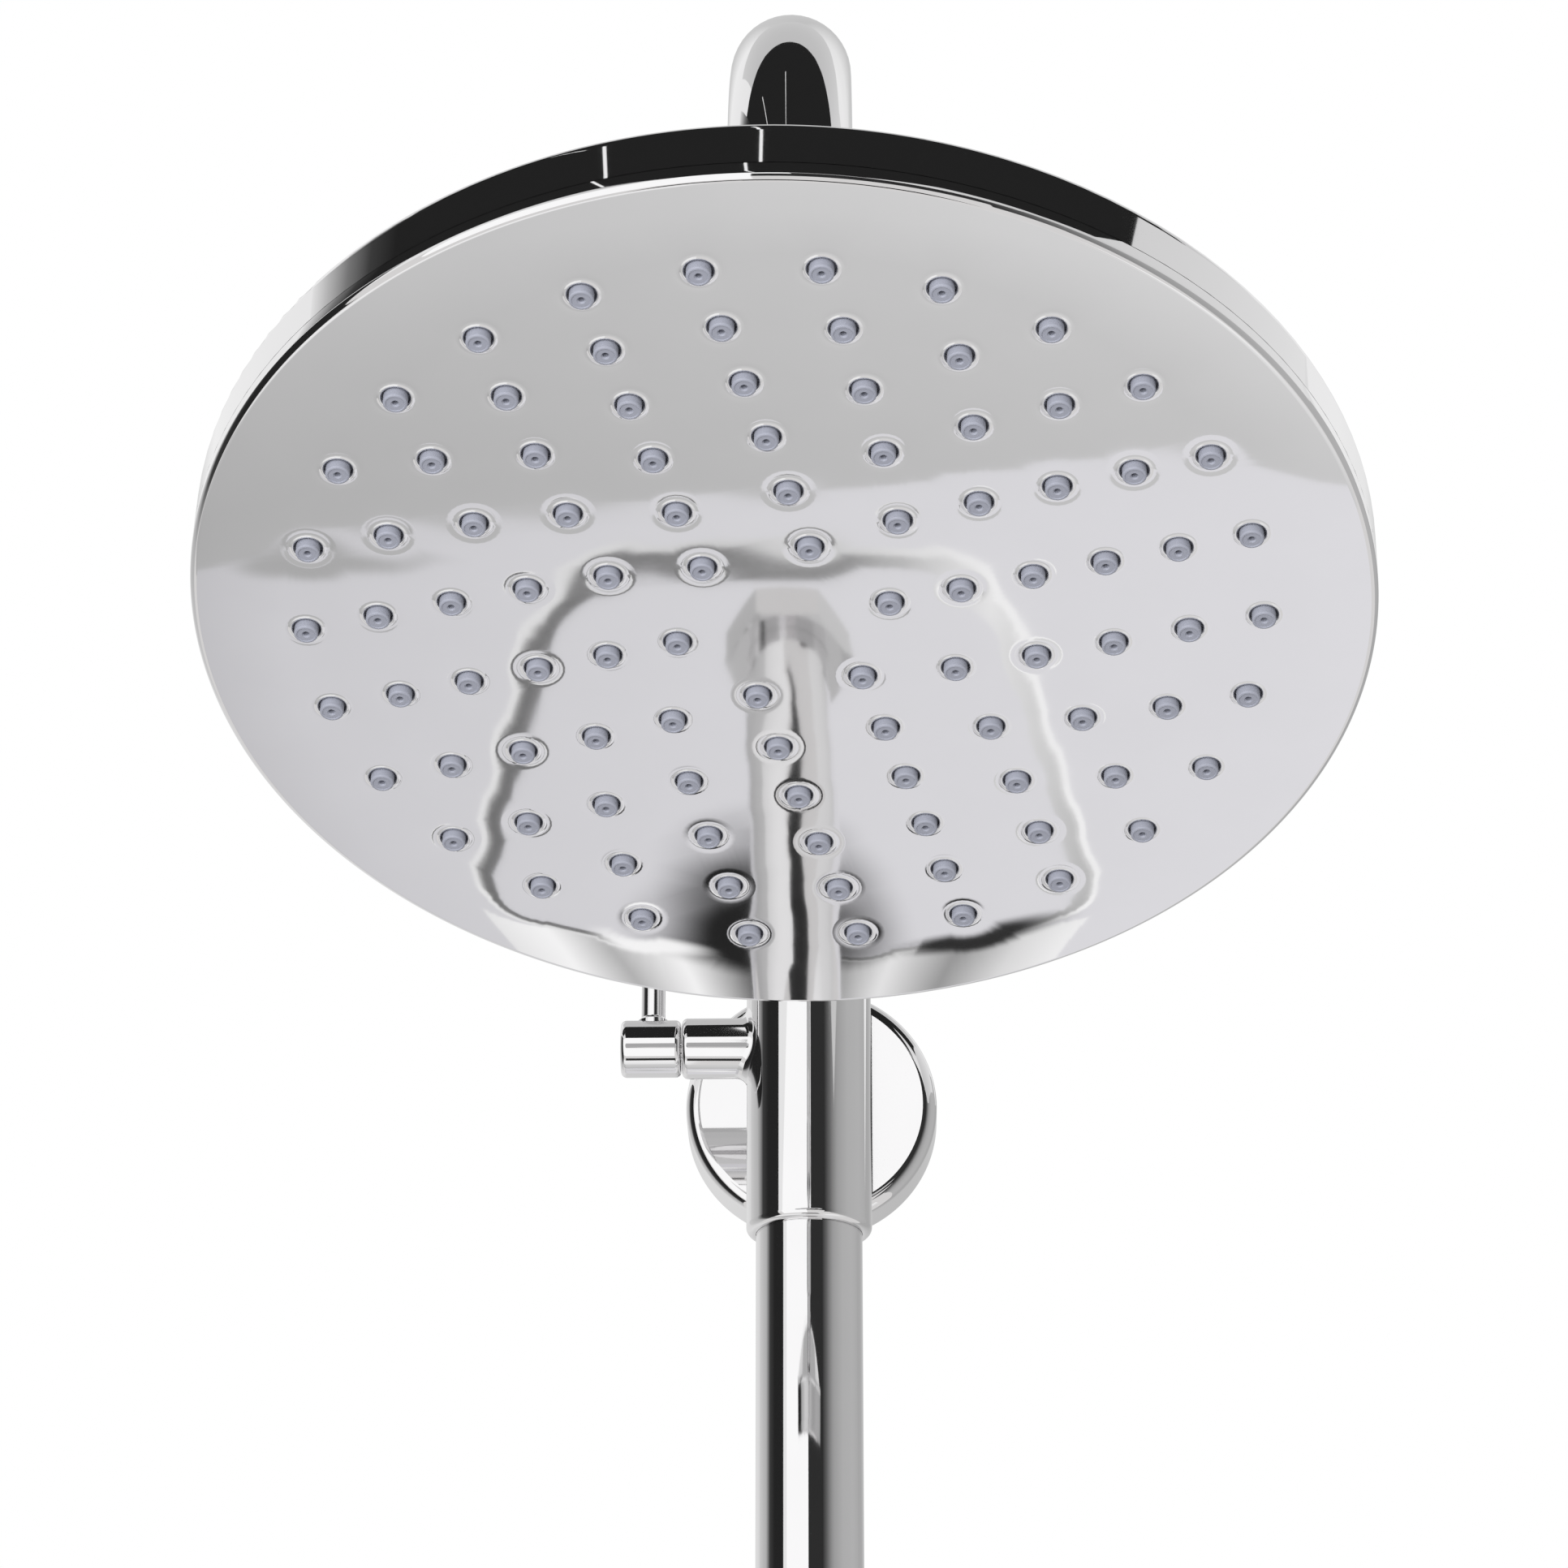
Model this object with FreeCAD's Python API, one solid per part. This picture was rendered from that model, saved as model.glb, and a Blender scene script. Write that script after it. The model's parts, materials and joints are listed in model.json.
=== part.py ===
"""Rain shower set for a wall: riser pipe, valve body with lever, swivel arm and round overhead shower.

Millimetres, +Z up.  The origin is the centre of the wall plate's back face, the wall is the plane Y = 0
and the room is on the -Y side.  The riser stands in front of the wall on a vertical axis.
"""
import FreeCAD, Part
import math
import os

from FreeCAD import Placement, Rotation, Vector

# Clearances and cutting
fit_gap = 0.02
run_gap = 0.05
play = 0.10
overrun = 1.0

# Riser pipe and swan-neck arm
tube_d = 22.0
tube_wall = 1.2
pipe_length = 450.0
arm_reach = 233.0
arm_bend_r = 60.0
arm_front_leg = 10.0

# How the set hangs: riser axis off the wall, swivel ball above the bracket axis, head as it is aimed
wall_offset = 47.0
ball_level = 23.2
head_tilt_deg = 19.8
head_turn_deg = 2.9

# Valve body: a turned column with a side stub for the spindle and a rear boss for the bracket
body_d = 26.0
body_h = 82.0
body_lip_r = 1.6
tube_socket_depth = 18.0
tube_seat_depth = 2.0
stub_d = 12.7
stub_length = 26.5
stub_lip_r = 1.2
stub_fillet_r = 2.5
boss_length = 20.0
boss_fillet_r = 2.0
valve_bore_d = 16.0
flow_d = 11.0
seat_rib_t = 2.0

# Quarter-turn valve inside the body
valve_ball_d = 15.0
valve_port_d = 9.0
seat_back_t = 2.5
seat_lip_h = 3.0
seat_ring_t = 4.0
spindle_d = 6.9
spindle_collar_d = 8.8
spindle_collar_t = 2.0
spindle_end_d = 5.0
spindle_end_cover = 3.3
tang_t = 2.8
tang_w = 6.0
tang_depth = 1.8
spindle_groove_depth = 1.0
spindle_groove_w = 1.4
gland_t = 5.6
gland_sink = 0.3

# Lever: a small knob with a rod
knob_d = 12.0
knob_length = 12.6
knob_gap = 0.2
knob_round_r = 1.2
lever_rod_d = 5.0
lever_rod_top = 28.0
lever_foot_r = 0.8
lever_place_share = 0.47
lever_screw_d = 3.0

# Spigots in the tube ends, with their seal rings
spigot_register = 9.0
ring_groove_depth = 1.5
ring_groove_w = 1.9
ring_place_shares = (0.27, 0.73)

# Grub screws
grub_d = 4.0
grub_sink = 0.2
grub_groove_depth = 1.5
grub_tip_gap = 0.35
grub_key_share = 0.5
grub_key_depth_share = 0.55

# Wall bracket
post_d = 16.0
post_stud_d = 8.0
post_stud_length = 6.5
plate_d = 44.0
plate_t = 4.0
plate_spigot_d = 11.0
plate_spigot_length = 14.0
plate_grub_groove_depth = 0.8
plate_grub_back = 3.0
screw_hole_d = 5.2
screw_spacing = 28.0
rosette_d = 54.0
rosette_t = 12.0
rosette_wall = 1.5
rosette_round_r = 3.0

# Inlet union at the foot of the riser
tail_register = 12.0
tail_bore_d = 15.0
tail_flange_t = 3.0
tail_flange_gap = 0.2
inlet_washer_t = 2.0
inlet_thread_d = 24.1
inlet_thread_length = 10.0
nut_relief = 0.4
nut_shoulder_t = 4.0
nut_flats = 30.0
nut_chamfer_deg = 30.0

# Swivel ball joint between the arm and the head
swivel_ball_d = 21.0
swivel_bore_d = 8.0
swivel_neck_d = 12.4
tilt_limit_deg = 22.0
tilt_margin_deg = 2.5
ball_ring_section = 1.5
ball_ring_latitude_deg = -33.0
collar_d = 33.0
collar_rise = 8.0
collar_skirt = 10.0
collar_round_r = 1.4
collar_flutes = 24
collar_flute_d = 2.0
collar_thread_d = 26.0
collar_clearance = 1.0
collar_seat_gap = 0.5
seat_floor_t = 2.6
seat_wall_t = 1.0
seat_hole_d = 10.0
union_d = 25.0
union_floor_t = 2.0
union_round_r = 1.0
nipple_thread_d = 20.9
nipple_thread_length = 11.5
nipple_collar_t = 1.3
limiter_d = 10.4
limiter_t = 3.0
limiter_hole_d = 2.2
limiter_holes = 5
screen_t = 0.6
screen_hole_d = 0.9
screen_pitch = 1.5
screen_rings = 5
arm_washer_t = 2.0
arm_washer_bore_d = 17.0

# Overhead shower
head_d = 200.0
head_side_h = 14.0
head_edge_r = 3.0
head_dome_rise = 9.0
head_wall = 2.2
ball_height = 38.0
face_t = 1.6
face_edge_r = 2.4
face_rim_h = 3.2
face_seam = 0.15
face_register_t = 2.0
face_register_h = 4.3
mat_t = 1.6
mat_inset = 4.3
spray_plate_t = 2.5
spray_plate_gap = 1.4
seal_t = 1.2
seal_w = 2.5
seal_inset = 0.3

# Spray nozzles: each ring has four more than the one inside it
nozzle_edge = 19.2
nozzle_rings = 6
nozzle_start_deg = 77.3
nozzle_d = 4.6
nozzle_stand = 1.4
nozzle_round_r = 0.7
nozzle_hole_d = 5.0
nozzle_lip_r = 0.9
orifice_d = 1.3
orifice_length = 1.0
nozzle_bore_d = 2.6

# Screws that hold the spray plate
plate_screws = 6
plate_screw_d = 2.4
plate_screw_head_d = 4.8
plate_screw_head_h = 1.3
plate_screw_length = 8.0
plate_boss_d = 6.4
plate_screw_sink = 0.1

# Worked-out radii and levels
tube_r = tube_d / 2
tube_bore_r = tube_r - tube_wall
body_r = body_d / 2
body_top = body_h / 2
socket_r = tube_r + run_gap
socket_floor = body_top - tube_socket_depth
valve_bore_r = valve_bore_d / 2
flow_r = flow_d / 2
valve_ball_r = valve_ball_d / 2
seat_reach = valve_ball_r + seat_back_t
spindle_r = spindle_d / 2
tube_seat = body_top - tube_seat_depth
grub_level = (socket_floor + tube_seat) / 2
pipe_foot = -tube_seat - pipe_length
ball_r = swivel_ball_d / 2
collar_r = collar_d / 2
tilt_limit = math.radians(tilt_limit_deg)
neck_top = collar_rise * math.cos(tilt_limit) + collar_r * math.sin(tilt_limit) + collar_clearance
union_stack = union_floor_t + screen_t + arm_washer_t
nipple_foot = ball_level + neck_top + union_stack
union_top = nipple_foot + nipple_thread_length
arm_foot = union_top + nipple_collar_t
arm_bend_level = arm_foot + arm_front_leg
head_r = head_d / 2
nozzle_pitch = (head_r - nozzle_edge) / (nozzle_rings + 0.5)
mat_base = face_t + fit_gap
spray_base = mat_base + mat_t + fit_gap
spray_top = spray_base + spray_plate_t
dome_r = ((head_r - head_edge_r) ** 2 + head_dome_rise ** 2) / (2 * head_dome_rise)

# Frames: heights run up the riser, out of the stub, out to the wall, out of the wall, down the arm's end
riser_foot = Vector(0, -wall_offset, 0)
riser = Placement(riser_foot, Rotation())
side = Placement(riser_foot, Rotation(Vector(0, 1, 0), -90))
rear = Placement(riser_foot, Rotation(Vector(1, 0, 0), -90))
wall = Placement(Vector(0, 0, 0), Rotation(Vector(1, 0, 0), 90))
ball_centre = Vector(0, -wall_offset - arm_reach, ball_level)
arm_end = Placement(ball_centre, Rotation())
aim = Rotation(Vector(0, 0, 1), -head_turn_deg) * Rotation(Vector(1, 0, 0), -head_tilt_deg)
head = Placement(ball_centre - aim.multVec(Vector(0, 0, ball_height)), aim)

parts = {}


def keep(name, shape, frame):
    """Put a finished piece in its frame under its own name."""
    shape.Placement = frame.multiply(shape.Placement)
    parts[name] = shape


def cylinder(radius, low, high):
    return Part.makeCylinder(radius, high - low, Vector(0, 0, low))


def ring(outer_r, inner_r, low, high):
    return cylinder(outer_r, low, high).cut(cylinder(inner_r, low - overrun, high + overrun))


def laid(shape, angle_deg):
    """Turn a piece about the vertical axis."""
    return shape.rotated(Vector(0, 0, 0), Vector(0, 0, 1), angle_deg)


def pointing(shape, axis, angle_deg):
    """Turn a piece made along Z about another axis through the origin."""
    return shape.rotated(Vector(0, 0, 0), axis, angle_deg)


def corner(before, point, after, radius):
    """The two tangent points and the middle of a rounded corner."""
    to_before = (before - point).normalize()
    to_after = (after - point).normalize()
    half = to_before.getAngle(to_after) / 2
    reach = radius / math.tan(half)
    centre = point + (to_before + to_after).normalize() * (radius / math.sin(half))
    middle = centre + (point - centre).normalize() * radius
    return point + to_before * reach, middle, point + to_after * reach


def outline(points):
    """Closed wire in the XZ plane.

    A third number rounds that corner, and a leading "via" bends the line through that point.
    """
    places = [Vector(p[-2], 0, p[-1]) if p[0] == "via" else Vector(p[0], 0, p[1]) for p in points]
    edges = []
    pen = None
    bend = None
    stops = []
    for index, point in enumerate(points):
        here = places[index]
        if point[0] == "via":
            stops.append(("via", here))
        elif len(point) == 3:
            start, middle, end = corner(places[index - 1], here, places[(index + 1) % len(points)], point[2])
            stops += [("to", start), ("via", middle), ("to", end)]
        else:
            stops.append(("to", here))
    stops.append(stops[0])
    for kind, here in stops:
        if kind == "via":
            bend = here
            continue
        if pen is not None and bend is not None:
            edges.append(Part.Arc(pen, bend, here).toShape())
        elif pen is not None:
            edges.append(Part.makeLine(pen, here))
        pen = here
        bend = None
    return Part.Wire(edges)


def turned(points):
    """A turned piece: its half section, as (radius, height), spun about the Z axis."""
    return Part.Face(outline(points)).revolve(Vector(0, 0, 0), Vector(0, 0, 1), 360)


def seal_ring(outer_r, inner_r, height):
    """An O-ring that just fills the room between two walls."""
    section_r = (outer_r - inner_r) / 2 - fit_gap
    return Part.makeTorus((outer_r + inner_r) / 2, section_r, Vector(0, 0, height))


def grub_screw(length):
    """Socket set screw along Z with its key hole at the top, the tip at zero."""
    screw = cylinder(grub_d / 2 - fit_gap, 0, length)
    key = hexagon(grub_d / 2 * grub_key_share, length * (1 - grub_key_depth_share), length + overrun)
    return screw.cut(key)


def hexagon(corner_r, low, high):
    """A six-sided bar along Z."""
    points = [Rotation(Vector(0, 0, 1), 60 * k).multVec(Vector(corner_r, 0, low)) for k in range(7)]
    return Part.Face(Part.makePolygon(points)).extrude(Vector(0, 0, high - low))


def sphere(radius, centre):
    return Part.makeSphere(radius, centre)


def joining_edges(shape, radius_a, radius_b, axis_b):
    """Edges where the upright cylinder meets a level one of another radius."""
    found = []
    for edge in shape.Edges:
        middle = edge.valueAt((edge.FirstParameter + edge.LastParameter) / 2)
        off_upright = math.hypot(middle.x, middle.y)
        off_level = math.hypot(middle.z, middle.dot(Vector(0, 0, 1).cross(axis_b)))
        on_upright = abs(off_upright - radius_a) < fit_gap
        if on_upright and abs(off_level - radius_b) < fit_gap and middle.dot(axis_b) > 0:
            found.append(edge)
    return found


def valve_body():
    """Column bored for the two spigots and the valve, with the stub and the boss grown into it."""
    left = Vector(-1, 0, 0)
    back = Vector(0, 1, 0)
    column = turned([
        (0, -body_top), (body_r, -body_top, body_lip_r), (body_r, body_top, body_lip_r), (0, body_top)])
    stub = turned([(0, 0), (stub_d / 2, 0), (stub_d / 2, stub_length, stub_lip_r), (0, stub_length)])
    stub = pointing(stub, Vector(0, 1, 0), -90)
    boss = pointing(cylinder(post_d / 2, 0, boss_length), Vector(1, 0, 0), -90)
    body = column.fuse([stub, boss])
    body = body.makeFillet(stub_fillet_r, joining_edges(body, body_r, stub_d / 2, left))
    body = body.makeFillet(boss_fillet_r, joining_edges(body, body_r, post_d / 2, back))
    rib_top = seat_reach + seat_rib_t
    bore = turned([
        (0, -body_top - overrun), (socket_r, -body_top - overrun), (socket_r, -socket_floor),
        (valve_bore_r, -socket_floor), (valve_bore_r, seat_reach), (flow_r, seat_reach), (flow_r, rib_top),
        (valve_bore_r, rib_top), (valve_bore_r, socket_floor), (socket_r, socket_floor),
        (socket_r, body_top + overrun), (0, body_top + overrun)])
    collar_seat = spindle_collar_seat()
    gland_bore_r = spindle_collar_d / 2 + run_gap
    gland_bore = turned([
        (0, 0), (spindle_r + run_gap, 0), (spindle_r + run_gap, collar_seat), (gland_bore_r, collar_seat),
        (gland_bore_r, stub_length + overrun), (0, stub_length + overrun)])
    stud_floor = boss_length - post_stud_length - play
    stud_bore = cylinder(post_stud_d / 2 + fit_gap, stud_floor, boss_length + overrun)
    grub_bores = []
    for level in (grub_level, -grub_level):
        hole = pointing(cylinder(grub_d / 2, valve_bore_r, body_d), Vector(1, 0, 0), -90)
        hole.translate(Vector(0, 0, level))
        grub_bores.append(hole)
    cuts = [bore, pointing(gland_bore, Vector(0, 1, 0), -90), pointing(stud_bore, Vector(1, 0, 0), -90)]
    return body.cut(cuts + grub_bores)


def spindle_collar_seat():
    """Distance from the riser axis to the step that the spindle's collar rests on."""
    return stub_length - gland_sink - gland_t - 2 * play - spindle_collar_t


def spindle_end():
    return stub_length + knob_gap + knob_length - spindle_end_cover


def lever_place():
    """Distance of the lever rod from the riser axis."""
    return stub_length + knob_gap + knob_length * lever_place_share


def valve_pieces():
    """Ball, seats and retaining ring on the riser axis; spindle, seals, gland and lever on the stub's."""
    port = cylinder(valve_port_d / 2, -valve_ball_d, valve_ball_d)
    slot_floor = valve_ball_r - tang_depth
    slot = Part.makeBox(valve_ball_r, tang_t + 2 * run_gap, tang_w + 2 * run_gap)
    slot.translate(Vector(-slot_floor - valve_ball_r, -tang_t / 2 - run_gap, -tang_w / 2 - run_gap))
    keep("valve_ball", sphere(valve_ball_r, Vector(0, 0, 0)).cut([port, slot]), riser)

    seat_r = valve_bore_r - fit_gap
    seat = ring(seat_r, valve_port_d / 2, seat_reach - seat_back_t - seat_lip_h, seat_reach - fit_gap)
    seat = seat.cut(sphere(valve_ball_r + run_gap, Vector(0, 0, 0)))
    lower_seat = pointing(seat, Vector(1, 0, 0), 180)
    keep("valve_seats", Part.makeCompound([seat, lower_seat]), riser)
    keep("seat_ring", ring(seat_r, valve_port_d / 2, -seat_reach - seat_ring_t, -seat_reach), riser)

    collar_seat = spindle_collar_seat()
    collar_top = collar_seat + play + spindle_collar_t
    shaft_foot = valve_bore_r
    shaft = turned([
        (0, shaft_foot), (spindle_r, shaft_foot), (spindle_r, collar_seat + play),
        (spindle_collar_d / 2, collar_seat + play), (spindle_collar_d / 2, collar_top),
        (spindle_end_d / 2, collar_top), (spindle_end_d / 2, spindle_end()), (0, spindle_end())])
    tang = Part.makeBox(tang_w, tang_t, shaft_foot - slot_floor)
    tang.translate(Vector(-tang_w / 2, -tang_t / 2, slot_floor + play))
    tang = tang.common(cylinder(spindle_r, 0, shaft_foot + play))
    groove_r = spindle_r - spindle_groove_depth
    grooves = []
    rings = []
    for share in ring_place_shares:
        level = shaft_foot + (collar_seat - shaft_foot) * share
        grooves.append(ring(spindle_d, groove_r, level - spindle_groove_w / 2, level + spindle_groove_w / 2))
        rings.append(seal_ring(spindle_r + run_gap, groove_r, level))
    screw_hole = lever_bore(lever_screw_d / 2, 0, spindle_end_d)
    keep("spindle", shaft.fuse(tang).cut(grooves + [screw_hole]), side)
    keep("spindle_o_rings", Part.makeCompound(rings), side)

    gland_r = spindle_collar_d / 2 + run_gap - fit_gap
    gland = ring(gland_r, spindle_end_d / 2 + run_gap, collar_top + play, stub_length - gland_sink)
    keep("spindle_gland", gland, side)


def lever_bore(radius, low, high):
    """A radial cylinder at the lever's place, upwards along the stub frame's X axis."""
    hole = pointing(cylinder(radius, low, high), Vector(0, 1, 0), 90)
    hole.translate(Vector(0, 0, lever_place()))
    return hole


def lever():
    """Knob on the spindle's end and the rod that is screwed into it."""
    knob_r = knob_d / 2
    low = stub_length + knob_gap
    high = low + knob_length
    knob = turned([
        (0, spindle_end() + fit_gap), (spindle_end_d / 2 + fit_gap, spindle_end() + fit_gap),
        (spindle_end_d / 2 + fit_gap, low), (knob_r, low, knob_round_r), (knob_r, high, knob_round_r),
        (0, high)])
    keep("lever_knob", knob.cut(lever_bore(lever_screw_d / 2, 0, knob_d)), side)

    rod_r = lever_rod_d / 2
    foot_r = rod_r + lever_foot_r
    foot_top = knob_r + lever_foot_r
    skew = lever_foot_r * math.sqrt(0.5)
    dome = rod_r * math.sqrt(0.5)
    rod = turned([
        (0, 0), (foot_r, 0), (foot_r, knob_r), ("via", foot_r - skew, foot_top - skew), (rod_r, foot_top),
        (rod_r, lever_rod_top - rod_r), ("via", dome, lever_rod_top - rod_r + dome), (0, lever_rod_top)])
    around_knob = pointing(cylinder(knob_r + fit_gap, -knob_d, knob_d), Vector(0, 1, 0), 90)
    screw = cylinder(lever_screw_d / 2 - fit_gap, play, foot_top)
    rod = pointing(rod.cut(around_knob).fuse(screw), Vector(0, 1, 0), 90)
    rod.translate(Vector(0, 0, lever_place()))
    keep("lever_rod", rod, side)


def spigot(neck_foot):
    """Turned end piece: grooved neck in the valve bore, collar in the socket, register in the tube."""
    neck_r = valve_bore_r - run_gap
    collar_foot = socket_floor + play
    piece = turned([
        (flow_r, neck_foot), (neck_r, neck_foot), (neck_r, collar_foot), (tube_r, collar_foot),
        (tube_r, tube_seat), (tube_bore_r - fit_gap, tube_seat),
        (tube_bore_r - fit_gap, tube_seat + spigot_register), (flow_r, tube_seat + spigot_register)])
    groove_r = neck_r - ring_groove_depth
    half_w = grub_d / 2 + play
    cuts = [ring(tube_d, tube_r - grub_groove_depth, grub_level - half_w, grub_level + half_w)]
    rings = []
    for share in ring_place_shares:
        level = neck_foot + (collar_foot - neck_foot) * share
        cuts.append(ring(tube_d, groove_r, level - ring_groove_w / 2, level + ring_groove_w / 2))
        rings.append(seal_ring(valve_bore_r, groove_r, level))
    return piece.cut(cuts), Part.makeCompound(rings)


def riser_pieces():
    """Spigots, seal rings, grub screws and the long pipe below the valve body."""
    arm_piece, arm_rings = spigot(seat_reach + seat_rib_t + play)
    keep("arm_spigot", arm_piece, riser)
    keep("arm_o_rings", arm_rings, riser)
    pipe_piece, pipe_rings = spigot(seat_reach + seat_ring_t + play)
    keep("pipe_spigot", pointing(pipe_piece, Vector(1, 0, 0), 180), riser)
    keep("pipe_o_rings", pointing(pipe_rings, Vector(1, 0, 0), 180), riser)
    keep("lower_pipe", ring(tube_r, tube_bore_r, pipe_foot, -tube_seat), riser)

    tip_r = tube_r - grub_groove_depth + grub_tip_gap
    grub_length = body_r - grub_sink - tip_r
    for name, level in (("arm_grub_screw", grub_level), ("pipe_grub_screw", -grub_level)):
        screw = grub_screw(grub_length)
        screw.translate(Vector(0, 0, tip_r))
        screw = pointing(screw, Vector(1, 0, 0), -90)
        screw.translate(Vector(0, 0, level))
        keep(name, screw, riser)


def bracket():
    """Post from the valve body to the wall plate, the plate itself and the rosette that hides it."""
    post_r = post_d / 2
    post_foot = wall_offset - plate_t
    bore_r = plate_spigot_d / 2 + fit_gap
    bore_top = post_foot - plate_spigot_length - play
    post = turned([
        (0, boss_length - post_stud_length), (post_stud_d / 2, boss_length - post_stud_length),
        (post_stud_d / 2, boss_length), (post_r, boss_length), (post_r, post_foot), (bore_r, post_foot),
        (bore_r, bore_top), (0, bore_top)])
    grub_place = wall_offset - rosette_t - plate_grub_back
    hole = pointing(cylinder(grub_d / 2, 0, post_d), Vector(1, 0, 0), -90)
    hole.translate(Vector(0, 0, grub_place))
    keep("bracket_post", post.cut(hole), rear)

    groove_r = plate_spigot_d / 2 - plate_grub_groove_depth
    grub_low = groove_r + fit_gap
    screw = grub_screw(post_r - grub_sink - grub_low)
    screw.translate(Vector(0, 0, grub_low))
    screw = pointing(screw, Vector(1, 0, 0), -90)
    screw.translate(Vector(0, 0, grub_place))
    keep("post_grub_screw", screw, rear)

    plate_spigot = cylinder(plate_spigot_d / 2, 0, plate_t + plate_spigot_length)
    plate = cylinder(plate_d / 2, 0, plate_t).fuse(plate_spigot)
    groove_mid = wall_offset - grub_place
    groove = ring(plate_d, groove_r, groove_mid - grub_d / 2 - play, groove_mid + grub_d / 2 + play)
    holes = []
    for place in (-screw_spacing / 2, screw_spacing / 2):
        hole = cylinder(screw_hole_d / 2, -overrun, plate_t + overrun)
        hole.translate(Vector(place, 0, 0))
        holes.append(hole)
    keep("wall_plate", plate.cut(holes + [groove]), wall)

    rosette_r = rosette_d / 2
    hub_r = post_r + run_gap
    cap = turned([
        (rosette_r, 0), (rosette_r, rosette_t, rosette_round_r), (hub_r, rosette_t),
        (hub_r, rosette_t - rosette_wall),
        (rosette_r - rosette_wall, rosette_t - rosette_wall, rosette_round_r - rosette_wall),
        (rosette_r - rosette_wall, 0)])
    keep("rosette", cap, wall)


def inlet():
    """Tail piece in the pipe's foot, its washer, and the loose union nut that hangs on the tail's flange."""
    bore_r = tail_bore_d / 2
    flange_r = inlet_thread_d / 2 - tail_flange_gap
    flange_foot = pipe_foot - tail_flange_t
    tail = turned([
        (bore_r, flange_foot), (flange_r, flange_foot), (flange_r, pipe_foot),
        (tube_bore_r - fit_gap, pipe_foot), (tube_bore_r - fit_gap, pipe_foot + tail_register),
        (bore_r, pipe_foot + tail_register)])
    keep("inlet_tail", tail, riser)
    washer_foot = flange_foot - inlet_washer_t
    keep("inlet_washer", ring(flange_r, bore_r, washer_foot, flange_foot - fit_gap), riser)

    shoulder = pipe_foot + play
    top = shoulder + nut_shoulder_t
    foot = washer_foot - inlet_thread_length
    corner_r = nut_flats / math.sqrt(3)
    blank = hexagon(corner_r, foot, top)
    slope = math.tan(math.radians(nut_chamfer_deg))
    flat_r = nut_flats / 2
    drop = (corner_r - flat_r) * slope
    barrel = turned([
        (0, foot), (flat_r, foot), (corner_r, foot + drop), (corner_r, top - drop), (flat_r, top), (0, top)])
    relief_r = inlet_thread_d / 2 + nut_relief
    thread_r = inlet_thread_d / 2
    bore = turned([
        (0, foot - overrun), (thread_r, foot - overrun), (thread_r, washer_foot), (relief_r, washer_foot),
        (relief_r, shoulder), (tube_r + run_gap, shoulder), (tube_r + run_gap, top + overrun),
        (0, top + overrun)])
    keep("inlet_nut", blank.common(barrel).cut(bore), riser)


def arm_path():
    """Centre line of the swan neck: up from the valve body, over two quarter bends and down to the head."""
    back_y = -wall_offset
    front_y = back_y - arm_reach
    top = arm_bend_level + arm_bend_r
    inset = arm_bend_r * (1 - math.sqrt(0.5))
    foot = Vector(0, back_y, tube_seat)
    back_low = Vector(0, back_y, arm_bend_level)
    back_mid = Vector(0, back_y - inset, top - inset)
    back_high = Vector(0, back_y - arm_bend_r, top)
    front_high = Vector(0, front_y + arm_bend_r, top)
    front_mid = Vector(0, front_y + inset, top - inset)
    front_low = Vector(0, front_y, arm_bend_level)
    end = Vector(0, front_y, arm_foot)
    return Part.Wire([
        Part.makeLine(foot, back_low), Part.Arc(back_low, back_mid, back_high).toShape(),
        Part.makeLine(back_high, front_high), Part.Arc(front_high, front_mid, front_low).toShape(),
        Part.makeLine(front_low, end)])


def arm():
    """Swan neck bent from one length of tube."""
    path = arm_path()
    foot = Vector(0, -wall_offset, tube_seat)
    up = Vector(0, 0, 1)
    outer = path.makePipeShell([Part.Wire(Part.makeCircle(tube_r, foot, up))], True, False)
    inner = path.makePipeShell([Part.Wire(Part.makeCircle(tube_bore_r, foot, up))], True, False)
    keep("arm_tube", outer.cut(inner), Placement())


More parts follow.
